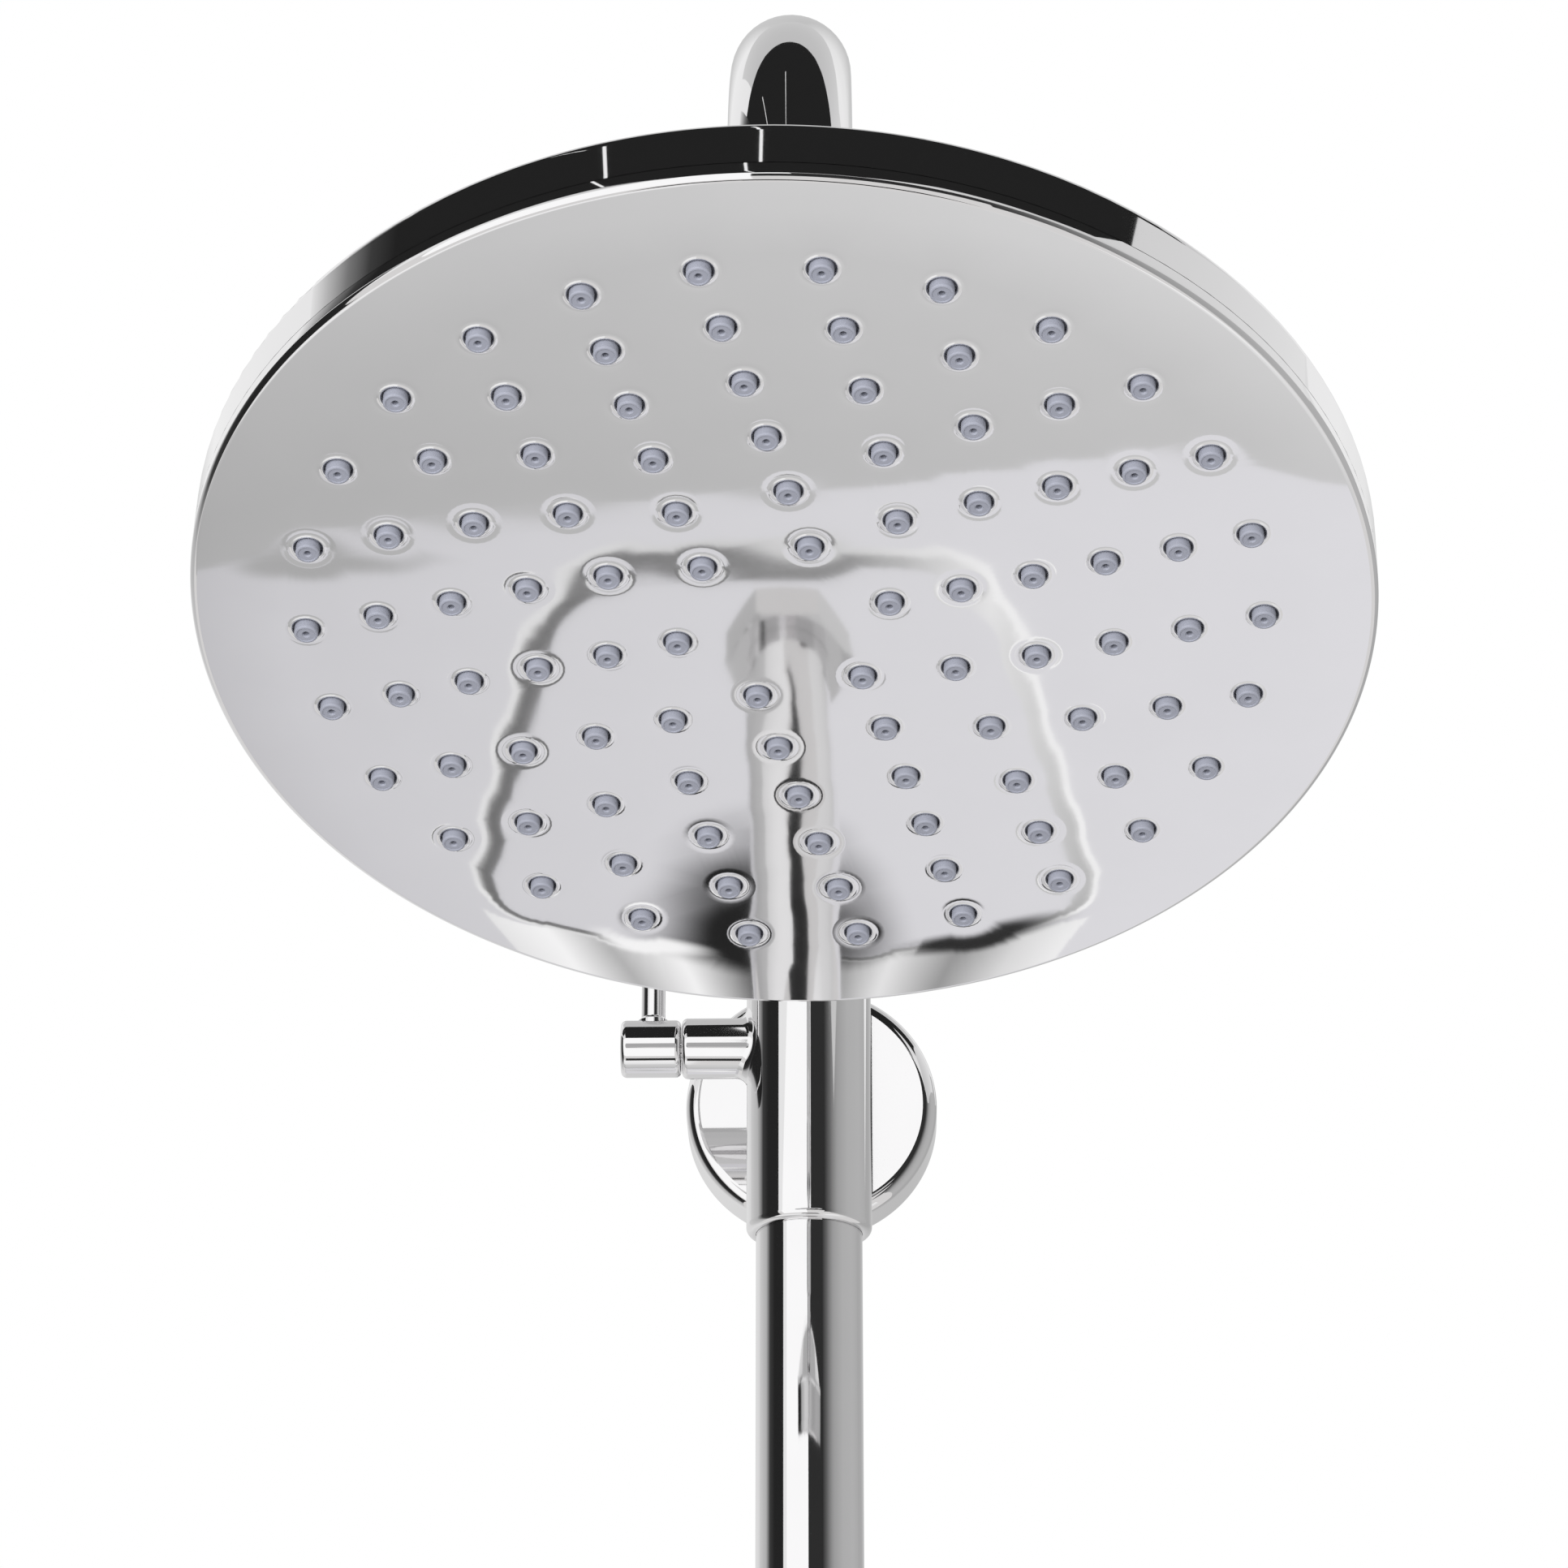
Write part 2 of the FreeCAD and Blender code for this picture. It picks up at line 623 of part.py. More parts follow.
def swivel():
    """Nipple in the arm's end, and the ball that screws on to it with its washer, screen and limiter."""
    nipple_r = nipple_thread_d / 2
    foot = nipple_foot - ball_level
    top = union_top - ball_level
    seat = arm_foot - ball_level
    flow = arm_washer_bore_d / 2
    nipple = turned([
        (flow, foot), (nipple_r, foot), (nipple_r, top + fit_gap), (tube_r, top + fit_gap), (tube_r, seat),
        (tube_bore_r - fit_gap, seat), (tube_bore_r - fit_gap, seat + arm_front_leg - play),
        (flow, seat + arm_front_leg - play)])
    keep("arm_nipple", nipple, arm_end)

    neck_r = swivel_neck_d / 2
    bore_r = swivel_bore_d / 2
    union_r = union_d / 2
    socket = nipple_r + fit_gap
    floor = neck_top + union_floor_t
    pocket_r = limiter_d / 2
    ball = turned([
        (bore_r, -math.sqrt(ball_r ** 2 - bore_r ** 2)), ("via", ball_r, 0),
        (neck_r, math.sqrt(ball_r ** 2 - neck_r ** 2)), (neck_r, neck_top),
        (union_r, neck_top, union_round_r), (union_r, top, union_round_r), (socket, top), (socket, floor),
        (pocket_r, floor), (pocket_r, floor - limiter_t), (bore_r, floor - limiter_t)])
    latitude = math.radians(ball_ring_latitude_deg)
    outward = Vector(math.cos(latitude), 0, math.sin(latitude))
    along = Vector(-math.sin(latitude), 0, math.cos(latitude))
    half_w = ball_ring_section / 2 + fit_gap
    floor_mid = outward * (ball_r - 2 * half_w)
    mouth_mid = outward * (ball_r + overrun)
    corners = [floor_mid - along * half_w, mouth_mid - along * half_w,
               mouth_mid + along * half_w, floor_mid + along * half_w]
    groove = turned([(point.x, point.z) for point in corners])
    ring_mid = outward * (ball_r - half_w)
    keep("swivel_ball", ball.cut(groove), arm_end)
    keep("ball_o_ring", Part.makeTorus(ring_mid.x, ball_ring_section / 2, Vector(0, 0, ring_mid.z)), arm_end)

    limiter = cylinder(pocket_r - fit_gap, floor - limiter_t, floor)
    ports = []
    for k in range(limiter_holes):
        port = cylinder(limiter_hole_d / 2, floor - limiter_t - overrun, floor + overrun)
        port.translate(Vector(bore_r - limiter_hole_d / 2, 0, 0))
        ports.append(laid(port, 360 * k / limiter_holes))
    keep("flow_limiter", limiter.cut(ports), arm_end)

    screen = cylinder(nipple_r - fit_gap, floor, floor + screen_t)
    meshes = [cylinder(screen_hole_d / 2, floor - overrun, floor + screen_t + overrun)]
    for k in range(1, screen_rings + 1):
        for j in range(6 * k):
            hole = meshes[0].copy()
            hole.translate(Vector(screen_pitch * k, 0, 0))
            meshes.append(laid(hole, 60 * j / k))
    keep("filter_screen", screen.cut(meshes), arm_end)
    washer_low = floor + screen_t + fit_gap
    keep("arm_washer", ring(nipple_r - fit_gap, flow, washer_low, foot - fit_gap), arm_end)


def dome_level(radius, drop):
    """Height of the head's domed back at a radius, or of a surface that far below it."""
    crown = head_side_h + head_dome_rise - dome_r
    return crown + math.sqrt(dome_r ** 2 - radius ** 2) - drop


def head_socket():
    """Collar nut and seat that hold the head on the ball."""
    cup_r = ball_r + run_gap
    neck_angle = math.asin(swivel_neck_d / swivel_ball_d)
    opening = neck_angle + math.radians(tilt_limit_deg + tilt_margin_deg)
    lip = Vector(cup_r * math.sin(opening), 0, ball_height + cup_r * math.cos(opening))
    step = ball_height - collar_seat_gap
    cup_at_step = math.sqrt(cup_r ** 2 - collar_seat_gap ** 2)
    middle = math.radians(90) - (math.radians(90) - opening) / 2
    thread_r = collar_thread_d / 2 + fit_gap
    top = ball_height + collar_rise
    foot = ball_height - collar_skirt
    collar = turned([
        (thread_r, foot), (thread_r, step), (cup_at_step, step),
        ("via", cup_r * math.sin(middle), ball_height + cup_r * math.cos(middle)), (lip.x, lip.z),
        (collar_rise * math.tan(opening), top), (collar_r, top, collar_round_r),
        (collar_r, foot, collar_round_r)])
    flutes = []
    for k in range(collar_flutes):
        flute = cylinder(collar_flute_d / 2, foot - overrun, top + overrun)
        flute.translate(Vector(collar_r + collar_flute_d / 4, 0, 0))
        flutes.append(laid(flute, 360 * k / collar_flutes))
    keep("ball_collar", collar.cut(flutes), head)

    seat_r = collar_thread_d / 2 - seat_wall_t - fit_gap
    seat_foot = ball_height - ball_r - seat_floor_t
    cup = sphere(cup_r, Vector(0, 0, ball_height))
    seat = ring(seat_r, seat_hole_d / 2, seat_foot, step - play).cut(cup)
    keep("ball_seat", seat, head)


def head_shell():
    """Domed back of the head with its side wall, socket boss, seal rim and screw bosses."""
    boss_r = collar_thread_d / 2
    pocket_r = boss_r - seat_wall_t
    pocket_floor = ball_height - ball_r - seat_floor_t - fit_gap
    boss_top = ball_height - collar_seat_gap - play
    hole_r = seat_hole_d / 2
    inner_r = head_r - head_wall
    edge_r = head_r - head_edge_r
    middle_r = (boss_r + edge_r) / 2
    low = face_rim_h + face_seam
    skew = head_edge_r * (1 - math.sqrt(0.5))
    shell = turned([
        (hole_r, dome_level(hole_r, head_wall)), (hole_r, pocket_floor), (pocket_r, pocket_floor),
        (pocket_r, boss_top), (boss_r, boss_top), (boss_r, dome_level(boss_r, 0)),
        ("via", middle_r, dome_level(middle_r, 0)), (edge_r, dome_level(edge_r, 0)),
        ("via", head_r - skew, head_side_h - skew), (head_r, head_side_h - head_edge_r), (head_r, low),
        (inner_r, low), (inner_r, head_side_h - head_wall),
        ("via", middle_r, dome_level(middle_r, head_wall))])
    rim_r = seal_outer_r()
    rim = ring(rim_r, rim_r - seal_w, spray_top + seal_t, dome_level(rim_r, head_wall / 2))
    bosses = []
    holes = []
    for place in screw_places():
        crown = dome_level(math.hypot(place.x, place.y), head_wall / 2)
        boss = cylinder(plate_boss_d / 2, spray_top + fit_gap, crown)
        hole_top = spray_base + plate_screw_length + play
        hole = cylinder(plate_screw_d / 2 + fit_gap, spray_top - overrun, hole_top)
        boss.translate(place)
        hole.translate(place)
        bosses.append(boss)
        holes.append(hole)
    keep("head_shell", shell.fuse([rim] + bosses).cut(holes), head)


def register_r():
    """Outside of the face plate's ring that snaps into the shell."""
    return head_r - head_wall - run_gap


def spray_plate_r():
    return register_r() - face_register_t - spray_plate_gap


def seal_outer_r():
    return spray_plate_r() - seal_inset


def screw_places():
    """Screws stand half way between the two outer nozzle rings."""
    start = Vector(nozzle_pitch * nozzle_rings, 0, 0)
    turn = Vector(0, 0, 1)
    return [Rotation(turn, 360 * k / plate_screws).multVec(start) for k in range(plate_screws)]


def nozzle_places():
    places = []
    for k in range(1, nozzle_rings + 1):
        count = 4 * k + 2
        radius = nozzle_pitch * (k + 0.5)
        for j in range(count):
            angle = math.radians(nozzle_start_deg + 360 * (j + 0.5) / count)
            places.append(Vector(radius * math.cos(angle), radius * math.sin(angle), 0))
    return places


def at_nozzles(shape):
    copies = []
    for place in nozzle_places():
        copy = shape.copy()
        copy.translate(place)
        copies.append(copy)
    return copies


def spray_face():
    """Face plate, nozzle mat, spray plate, its screws and the seal behind it."""
    outer_r = register_r()
    inner_r = outer_r - face_register_t
    plate = turned([
        (0, 0), (head_r, 0, face_edge_r), (head_r, face_rim_h), (outer_r, face_rim_h),
        (outer_r, face_rim_h + face_register_h), (inner_r, face_rim_h + face_register_h), (inner_r, face_t),
        (0, face_t)])
    hole_r = nozzle_hole_d / 2
    skew = nozzle_lip_r * (1 - math.sqrt(0.5))
    hole = turned([
        (0, -overrun), (hole_r + nozzle_lip_r, -overrun), (hole_r + nozzle_lip_r, 0),
        ("via", hole_r + skew, skew), (hole_r, nozzle_lip_r), (hole_r, face_t + overrun),
        (0, face_t + overrun)])
    keep("face_plate", plate.cut(at_nozzles(hole)), head)

    stud_r = nozzle_d / 2
    mat_top = mat_base + mat_t
    bore_floor = orifice_length - nozzle_stand
    stud = turned([
        (orifice_d / 2, -nozzle_stand), (stud_r, -nozzle_stand, nozzle_round_r), (stud_r, mat_top),
        (nozzle_bore_d / 2, mat_top), (nozzle_bore_d / 2, bore_floor + nozzle_bore_d / 2),
        (orifice_d / 2, bore_floor)])
    sheet = cylinder(spray_plate_r() - mat_inset, mat_base, mat_top)
    sheet = sheet.cut(at_nozzles(cylinder(stud_r, mat_base - overrun, mat_top + overrun)))
    keep("nozzle_mat", sheet.fuse(at_nozzles(stud)).removeSplitter(), head)

    backing = cylinder(spray_plate_r(), spray_base, spray_top)
    cuts = at_nozzles(cylinder(nozzle_bore_d / 2, spray_base - overrun, spray_top + overrun))
    screws = []
    head_top = spray_base + plate_screw_sink + plate_screw_head_h
    for place in screw_places():
        cut = cylinder(plate_screw_head_d / 2 + fit_gap, spray_base - overrun, head_top + fit_gap)
        cut = cut.fuse(cylinder(plate_screw_d / 2 + fit_gap, spray_base, spray_top + overrun))
        screw = cylinder(plate_screw_head_d / 2, spray_base + plate_screw_sink, head_top)
        screw = screw.fuse(cylinder(plate_screw_d / 2, head_top, spray_base + plate_screw_length))
        cut.translate(place)
        screw.translate(place)
        cuts.append(cut)
        screws.append(screw)
    keep("spray_plate", backing.cut(cuts), head)
    keep("plate_screws", Part.makeCompound(screws), head)
    seal_r = seal_outer_r()
    keep("head_seal", ring(seal_r, seal_r - seal_w, spray_top + fit_gap, spray_top + seal_t - fit_gap), head)


keep("valve_body", valve_body(), riser)
valve_pieces()
lever()
riser_pieces()
bracket()
inlet()
arm()
swivel()
head_socket()
head_shell()
spray_face()

os.makedirs("parts", exist_ok=True)
for name, shape in parts.items():
    if not shape.isValid() or not shape.Solids:
        raise ValueError("not a sound solid: " + name)
    shape.exportStep("parts/" + name + ".step")
    print(name, len(shape.Solids), round(shape.Volume, 1))
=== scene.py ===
"""Rain shower set: plated finishes, a dimpled spray face with soft nozzles, and a small white studio."""
import json
import math

import bpy
from mathutils import Matrix, Vector


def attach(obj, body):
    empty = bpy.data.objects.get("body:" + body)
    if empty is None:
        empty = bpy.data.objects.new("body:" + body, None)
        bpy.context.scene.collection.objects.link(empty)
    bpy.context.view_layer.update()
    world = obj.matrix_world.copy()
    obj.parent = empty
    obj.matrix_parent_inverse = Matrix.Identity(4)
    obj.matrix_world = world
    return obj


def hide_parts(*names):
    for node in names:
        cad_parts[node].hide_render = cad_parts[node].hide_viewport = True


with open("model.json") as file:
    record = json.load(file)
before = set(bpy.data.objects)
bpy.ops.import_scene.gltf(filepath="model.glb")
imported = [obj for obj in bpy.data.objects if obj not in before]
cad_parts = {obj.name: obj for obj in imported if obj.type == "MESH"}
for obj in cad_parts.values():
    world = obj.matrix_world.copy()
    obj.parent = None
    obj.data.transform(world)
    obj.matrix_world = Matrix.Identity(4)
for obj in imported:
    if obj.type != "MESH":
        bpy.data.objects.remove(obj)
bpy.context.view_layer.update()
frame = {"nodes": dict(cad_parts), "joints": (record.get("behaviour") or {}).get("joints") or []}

bl_info = {
    "name": "Rain shower set",
    "version": (1, 0, 0),
    "blender": (4, 5, 0),
    "location": "3D View > Sidebar > Shower",
    "description": "Models the spray face, gives every piece its finish and builds the studio",
    "category": "Object",
}

joints = {joint["name"]: joint for joint in frame["joints"]}
ball_centre = Vector(joints["head_tilt"]["pos_m"])
MM = 0.001
WHITE = (1.0, 1.0, 1.0, 1.0)

# Scales of the patterns in the finishes, in waves per metre.
HAZE_SCALE = 60.0
POLISH_SCALE = 1400.0
MOTTLE_SCALE = 180.0
GROOVE_SCALE = 900.0
TONE_SCALE = 90.0
FLOOR_SCALE = 3.0


class HeadSizes(bpy.types.PropertyGroup):
    """Sizes of the overhead shower's spray face."""

    tilt: bpy.props.FloatProperty(
        name="Tilt", description="Lean of the head towards the front", subtype="ANGLE",
        default=math.radians(19.8))
    turn: bpy.props.FloatProperty(
        name="Turn", description="Turn of the head about the arm's end", subtype="ANGLE",
        default=math.radians(2.9))
    ball_height: bpy.props.FloatProperty(
        name="Ball height", description="From the spray face to the swivel ball's centre", unit="LENGTH",
        default=38 * MM)
    radius: bpy.props.FloatProperty(
        name="Radius", description="Outer radius of the face plate", unit="LENGTH", default=100 * MM)
    edge_round: bpy.props.FloatProperty(
        name="Edge rounding", description="Radius of the face plate's outer edge", unit="LENGTH",
        default=1.3 * MM)
    rim_height: bpy.props.FloatProperty(
        name="Rim height", description="Height of the face plate's rim up to the seam", unit="LENGTH",
        default=3.2 * MM)
    register_radius: bpy.props.FloatProperty(
        name="Register radius", description="Outside of the ring that snaps into the shell", unit="LENGTH",
        default=97.75 * MM)
    register_wall: bpy.props.FloatProperty(
        name="Register wall", description="Wall of the ring that snaps into the shell", unit="LENGTH",
        default=2 * MM)
    register_top: bpy.props.FloatProperty(
        name="Register top", description="Top of the ring that snaps into the shell", unit="LENGTH",
        default=7.5 * MM)
    shading_lean: bpy.props.FloatProperty(
        name="Shading lean", description="Sideways slope that the face shows in its reflections only",
        default=0.029)
    plate_wall: bpy.props.FloatProperty(
        name="Plate wall", description="Thickness of the face plate", unit="LENGTH", default=1.6 * MM)
    rings: bpy.props.IntProperty(
        name="Nozzle rings", description="Number of nozzle rings", default=6)
    edge_margin: bpy.props.FloatProperty(
        name="Edge margin", description="From the outer nozzle ring to the edge", unit="LENGTH",
        default=19.2 * MM)
    first_angle: bpy.props.FloatProperty(
        name="First angle", description="Where the nozzle rows start", subtype="ANGLE",
        default=math.radians(77.3))
    hole_radius: bpy.props.FloatProperty(
        name="Hole radius", description="Radius of a nozzle's hole in the plate", unit="LENGTH",
        default=2.32 * MM)
    lip_width: bpy.props.FloatProperty(
        name="Lip width", description="Width of the lip that rolls into a hole", unit="LENGTH",
        default=0.40 * MM)
    lip_depth: bpy.props.FloatProperty(
        name="Lip depth", description="Depth of the lip that rolls into a hole", unit="LENGTH",
        default=0.5 * MM)
    bead_width: bpy.props.FloatProperty(
        name="Bead width", description="Width of the low bead's outer slope", unit="LENGTH",
        default=0.5 * MM)
    bead_height: bpy.props.FloatProperty(
        name="Bead height", description="Height of the low bead round a hole", unit="LENGTH",
        default=0.1 * MM)
    sink_width: bpy.props.FloatProperty(
        name="Sink width", description="Width of the shallow sink mark outside the bead", unit="LENGTH",
        default=1.7 * MM)
    sink_depth: bpy.props.FloatProperty(
        name="Sink depth", description="Depth of the shallow sink mark", unit="LENGTH", default=0.02 * MM)
    nozzle_radius: bpy.props.FloatProperty(
        name="Nozzle radius", description="Radius of a nozzle", unit="LENGTH", default=2.05 * MM)
    nozzle_stand: bpy.props.FloatProperty(
        name="Nozzle stand", description="How far a nozzle stands out of the face", unit="LENGTH",
        default=1.4 * MM)
    nozzle_round: bpy.props.FloatProperty(
        name="Nozzle rounding", description="Radius of a nozzle's end", unit="LENGTH", default=0.32 * MM)
    orifice_radius: bpy.props.FloatProperty(
        name="Orifice radius", description="Radius of the spray hole", unit="LENGTH", default=0.5 * MM)
    orifice_depth: bpy.props.FloatProperty(
        name="Orifice depth", description="Depth of the spray hole", unit="LENGTH", default=1.6 * MM)
    dish_depth: bpy.props.FloatProperty(
        name="Dish depth", description="How far a nozzle's end is sunk inside its edge", unit="LENGTH",
        default=0.12 * MM)
    mat_radius: bpy.props.FloatProperty(
        name="Mat radius", description="Radius of the sheet that carries the nozzles", unit="LENGTH",
        default=90 * MM)
    mat_wall: bpy.props.FloatProperty(
        name="Mat wall", description="Thickness of the sheet that carries the nozzles", unit="LENGTH",
        default=1.6 * MM)
    mat_gap: bpy.props.FloatProperty(
        name="Mat gap", description="Gap between the face plate and that sheet", unit="LENGTH",
        default=0.02 * MM)


class Finishes(bpy.types.PropertyGroup):
    """Colours of the finishes."""

    chrome: bpy.props.FloatVectorProperty(
        name="Chrome", description="Polished plating", subtype="COLOR", default=(0.875, 0.87, 0.875))
    chrome_shade: bpy.props.FloatVectorProperty(
        name="Chrome shade", description="Plating where it is a little thinner", subtype="COLOR",
        default=(0.84, 0.835, 0.84))
    brass: bpy.props.FloatVectorProperty(
        name="Brass", description="Turned inner pieces", subtype="COLOR", default=(0.72, 0.53, 0.25))
    steel: bpy.props.FloatVectorProperty(
        name="Steel", description="Screws, plate and screen", subtype="COLOR", default=(0.60, 0.61, 0.62))
    silicone: bpy.props.FloatVectorProperty(
        name="Silicone", description="Nozzles", subtype="COLOR", default=(0.315, 0.327, 0.386))
    rubber: bpy.props.FloatVectorProperty(
        name="Rubber", description="Seal rings and washers", subtype="COLOR", default=(0.02, 0.02, 0.021))
    white_plastic: bpy.props.FloatVectorProperty(
        name="White plastic", description="Seats and limiter", subtype="COLOR", default=(0.84, 0.83, 0.80))
    grey_plastic: bpy.props.FloatVectorProperty(
        name="Grey plastic", description="Spray plate", subtype="COLOR", default=(0.30, 0.31, 0.32))


class Studio(bpy.types.PropertyGroup):
    """Camera, floor, lamp and light."""

    lens: bpy.props.FloatProperty(
        name="Lens", description="Focal length of the camera", default=130.4, unit="CAMERA")
    camera_place: bpy.props.FloatVectorProperty(
        name="Camera", description="Place of the camera", subtype="TRANSLATION",
        default=(0.0161, -1.1666, -0.4046))
    camera_pitch: bpy.props.FloatProperty(
        name="Pitch", description="How far the camera looks up", subtype="ANGLE",
        default=math.radians(22.53))
    camera_turn: bpy.props.FloatProperty(
        name="Turn", description="How far the camera looks to the left", subtype="ANGLE",
        default=math.radians(1.09))
    floor_level: bpy.props.FloatProperty(
        name="Floor", description="Level of the floor", unit="LENGTH", default=-3.0)
    floor_colour: bpy.props.FloatVectorProperty(
        name="Floor colour", description="Pale floor", subtype="COLOR", default=(0.80, 0.79, 0.785))
    floor_seen: bpy.props.FloatProperty(
        name="Floor brightness", description="Brightness of the floor in the camera's view", default=1.2)
    floor_far: bpy.props.FloatProperty(
        name="Far floor", description="Brightness of the floor where it meets the backdrop", default=1.5)
    floor_mirrored: bpy.props.FloatProperty(
        name="Floor in the plating", description="Brightness of the floor in reflections", default=0.95)
    light_level: bpy.props.FloatProperty(
        name="Light", description="Strength of the even light from all round", default=0.62)
    lamp_place: bpy.props.FloatVectorProperty(
        name="Lamp", description="Place of the soft lamp", subtype="TRANSLATION",
        default=(-0.42, -1.7, -0.3))
    lamp_power: bpy.props.FloatProperty(
        name="Lamp power", description="Power of the soft lamp", unit="POWER", default=28)
    lamp_size: bpy.props.FloatProperty(
        name="Lamp size", description="Width of the soft lamp", unit="LENGTH", default=1.2)


class Value:
    """A shader socket that takes part in Python arithmetic; each operation adds a Math node."""

    def __init__(self, nodes, socket):
        self.nodes = nodes
        self.socket = socket

    def math(self, operation, first, second):
        return self.nodes.add("ShaderNodeMath", {"operation": operation}, {0: first, 1: second}).out(0)

    def __add__(self, other):
        return self.math("ADD", self, other)

    def __radd__(self, other):
        return self.math("ADD", other, self)

    def __sub__(self, other):
        return self.math("SUBTRACT", self, other)

    def __rsub__(self, other):
        return self.math("SUBTRACT", other, self)

    def __mul__(self, other):
        return self.math("MULTIPLY", self, other)

    def __rmul__(self, other):
        return self.math("MULTIPLY", other, self)


class Made:
    """A node that was added, whose outputs come back as values."""

    def __init__(self, nodes, node):
        self.nodes = nodes
        self.node = node

    def out(self, key):
        return Value(self.nodes, self.node.outputs[key])


class Nodes:
    """Builds one node tree."""

    def __init__(self, tree):
        self.tree = tree
        tree.nodes.clear()

    def add(self, kind, settings=None, inputs=None):
        """Add a node; its settings come first, then the values or links of its sockets."""
        node = self.tree.nodes.new(kind)
        for name, setting in (settings or {}).items():
            if name == "stops":
                self.set_stops(node, setting)
            else:
                setattr(node, name, setting)
        for key, given in (inputs or {}).items():
            if isinstance(given, Value):
                self.tree.links.new(given.socket, node.inputs[key])
            else:
                node.inputs[key].default_value = given
        return Made(self, node)

    def set_stops(self, node, stops):
        """Give a colour ramp its stops, as place and colour."""
        elements = node.color_ramp.elements
        while len(elements) < len(stops):
            elements.new(1.0)
        for element, (place, colour) in zip(elements, stops):
            element.position = place
            element.color = (*colour, 1.0)

    def noise(self, vector, scale, detail=2.0, roughness=0.5):
        inputs = {"Vector": vector, "Scale": scale, "Detail": detail, "Roughness": roughness}
        return self.add("ShaderNodeTexNoise", None, inputs).out("Fac")

    def blend(self, factor, first, second):
        """Mix two colours."""
        colours = {"A": (*first, 1.0), "B": (*second, 1.0)}
        made = self.add("ShaderNodeMix", {"data_type": "RGBA"}, {"Factor": factor})
        for socket in made.node.inputs:
            if socket.type == "RGBA":
                socket.default_value = colours[socket.name]
        return Value(self, [socket for socket in made.node.outputs if socket.type == "RGBA"][0])


def new_material(name):
    """A material with an empty tree, and the object coordinates that its patterns read."""
    material = bpy.data.materials.new(name)
    material.use_nodes = True
    nodes = Nodes(material.node_tree)
    place = nodes.add("ShaderNodeTexCoord").out("Object")
    return material, nodes, place


def close_material(nodes, inputs):
    """End a material in one Principled surface."""
    surface = nodes.add("ShaderNodeBsdfPrincipled", None, inputs)
    nodes.add("ShaderNodeOutputMaterial", None, {"Surface": surface.out("BSDF")})


def bump(nodes, height, strength, distance):
    inputs = {"Height": height, "Strength": strength, "Distance": distance}
    return nodes.add("ShaderNodeBump", None, inputs).out("Normal")


def darker(colour, share):
    return tuple(part * share for part in colour)


def plating(name, wave_scale, wave_height, polish, lean=0.0):
    """Polished chrome: slow waves, a lean to one side where one is given, and a trace of polishing haze."""
    colours = bpy.context.scene.shower_finishes
    material, nodes, place = new_material(name)
    slow = nodes.noise(place, wave_scale, 1.0)
    if lean:
        aside = nodes.add("ShaderNodeSeparateXYZ", None, {"Vector": place}).out("X")
        slow = slow - aside * (lean / wave_height)
    haze = nodes.noise(place, HAZE_SCALE, 4.0, 0.6)
    fine = nodes.noise(place, POLISH_SCALE, 2.0)
    colour = nodes.blend(haze, tuple(colours.chrome_shade), tuple(colours.chrome))
    roughness = polish + haze * 0.022 + fine * 0.008
    close_material(nodes, {
        "Base Color": colour, "Metallic": 1.0, "Roughness": roughness,
        "Normal": bump(nodes, slow, 1.0, wave_height)})
    return material


def turned_metal(name, colour, dark_share, roughness):
    """Metal as it leaves the lathe: fine grooves and a mottled tone."""
    material, nodes, place = new_material(name)
    mottle = nodes.noise(place, MOTTLE_SCALE, 3.0)
    grooves = nodes.add(
        "ShaderNodeTexWave", {"wave_type": "BANDS", "bands_direction": "Z"},
        {"Vector": place, "Scale": GROOVE_SCALE, "Distortion": 2.0, "Detail": 2.0}).out("Fac")
    close_material(nodes, {
        "Base Color": nodes.blend(mottle, darker(colour, dark_share), colour), "Metallic": 1.0,
        "Roughness": roughness + mottle * 0.12, "Normal": bump(nodes, grooves, 0.25, 0.02 * MM)})
    return material


def moulded(name, colour, dark_share, roughness, grain_scale, grain_height):
    """Rubber, silicone or plastic: a fine moulded grain and a slightly uneven tone."""
    material, nodes, place = new_material(name)
    tone = nodes.noise(place, TONE_SCALE, 3.0)
    grain = nodes.noise(place, grain_scale, 3.0, 0.6)
    close_material(nodes, {
        "Base Color": nodes.blend(tone, darker(colour, dark_share), colour),
        "Roughness": roughness + grain * 0.14, "Normal": bump(nodes, grain, 0.5, grain_height)})
    return material


def dress(material, names):
    """Give CAD nodes a material."""
    for name in names:
        node = frame["nodes"][name]
        node.data.materials.clear()
        node.data.materials.append(material)


def deselect_all():
    if bpy.context.mode != "OBJECT":
        bpy.ops.object.mode_set(mode="OBJECT")
    bpy.ops.object.select_all(action="DESELECT")


def start_ring(name, radius, height, segments, filled):
    """Add a circle, the start of a turned piece, and leave it selected in edit mode."""
    deselect_all()
    fill = "NGON" if filled else "NOTHING"
    bpy.ops.mesh.primitive_circle_add(
        vertices=segments, radius=radius, fill_type=fill, location=(0, 0, height))
    piece = bpy.context.object
    piece.name = name
    bpy.ops.object.transform_apply(location=True, rotation=True, scale=True)
    bpy.ops.object.mode_set(mode="EDIT")
    bpy.ops.mesh.select_all(action="SELECT")
    return piece


def draw_rings(rings):
    """Extrude the selected ring along a half section, given as (radius, height) from ring to ring."""
    for (radius, height), (next_radius, next_height) in zip(rings, rings[1:]):
        bpy.ops.mesh.extrude_region_move(
            TRANSFORM_OT_translate={"value": (0, 0, next_height - height)})
        share = next_radius / radius
        bpy.ops.transform.resize(value=(share, share, 1), center_override=(0, 0, next_height))


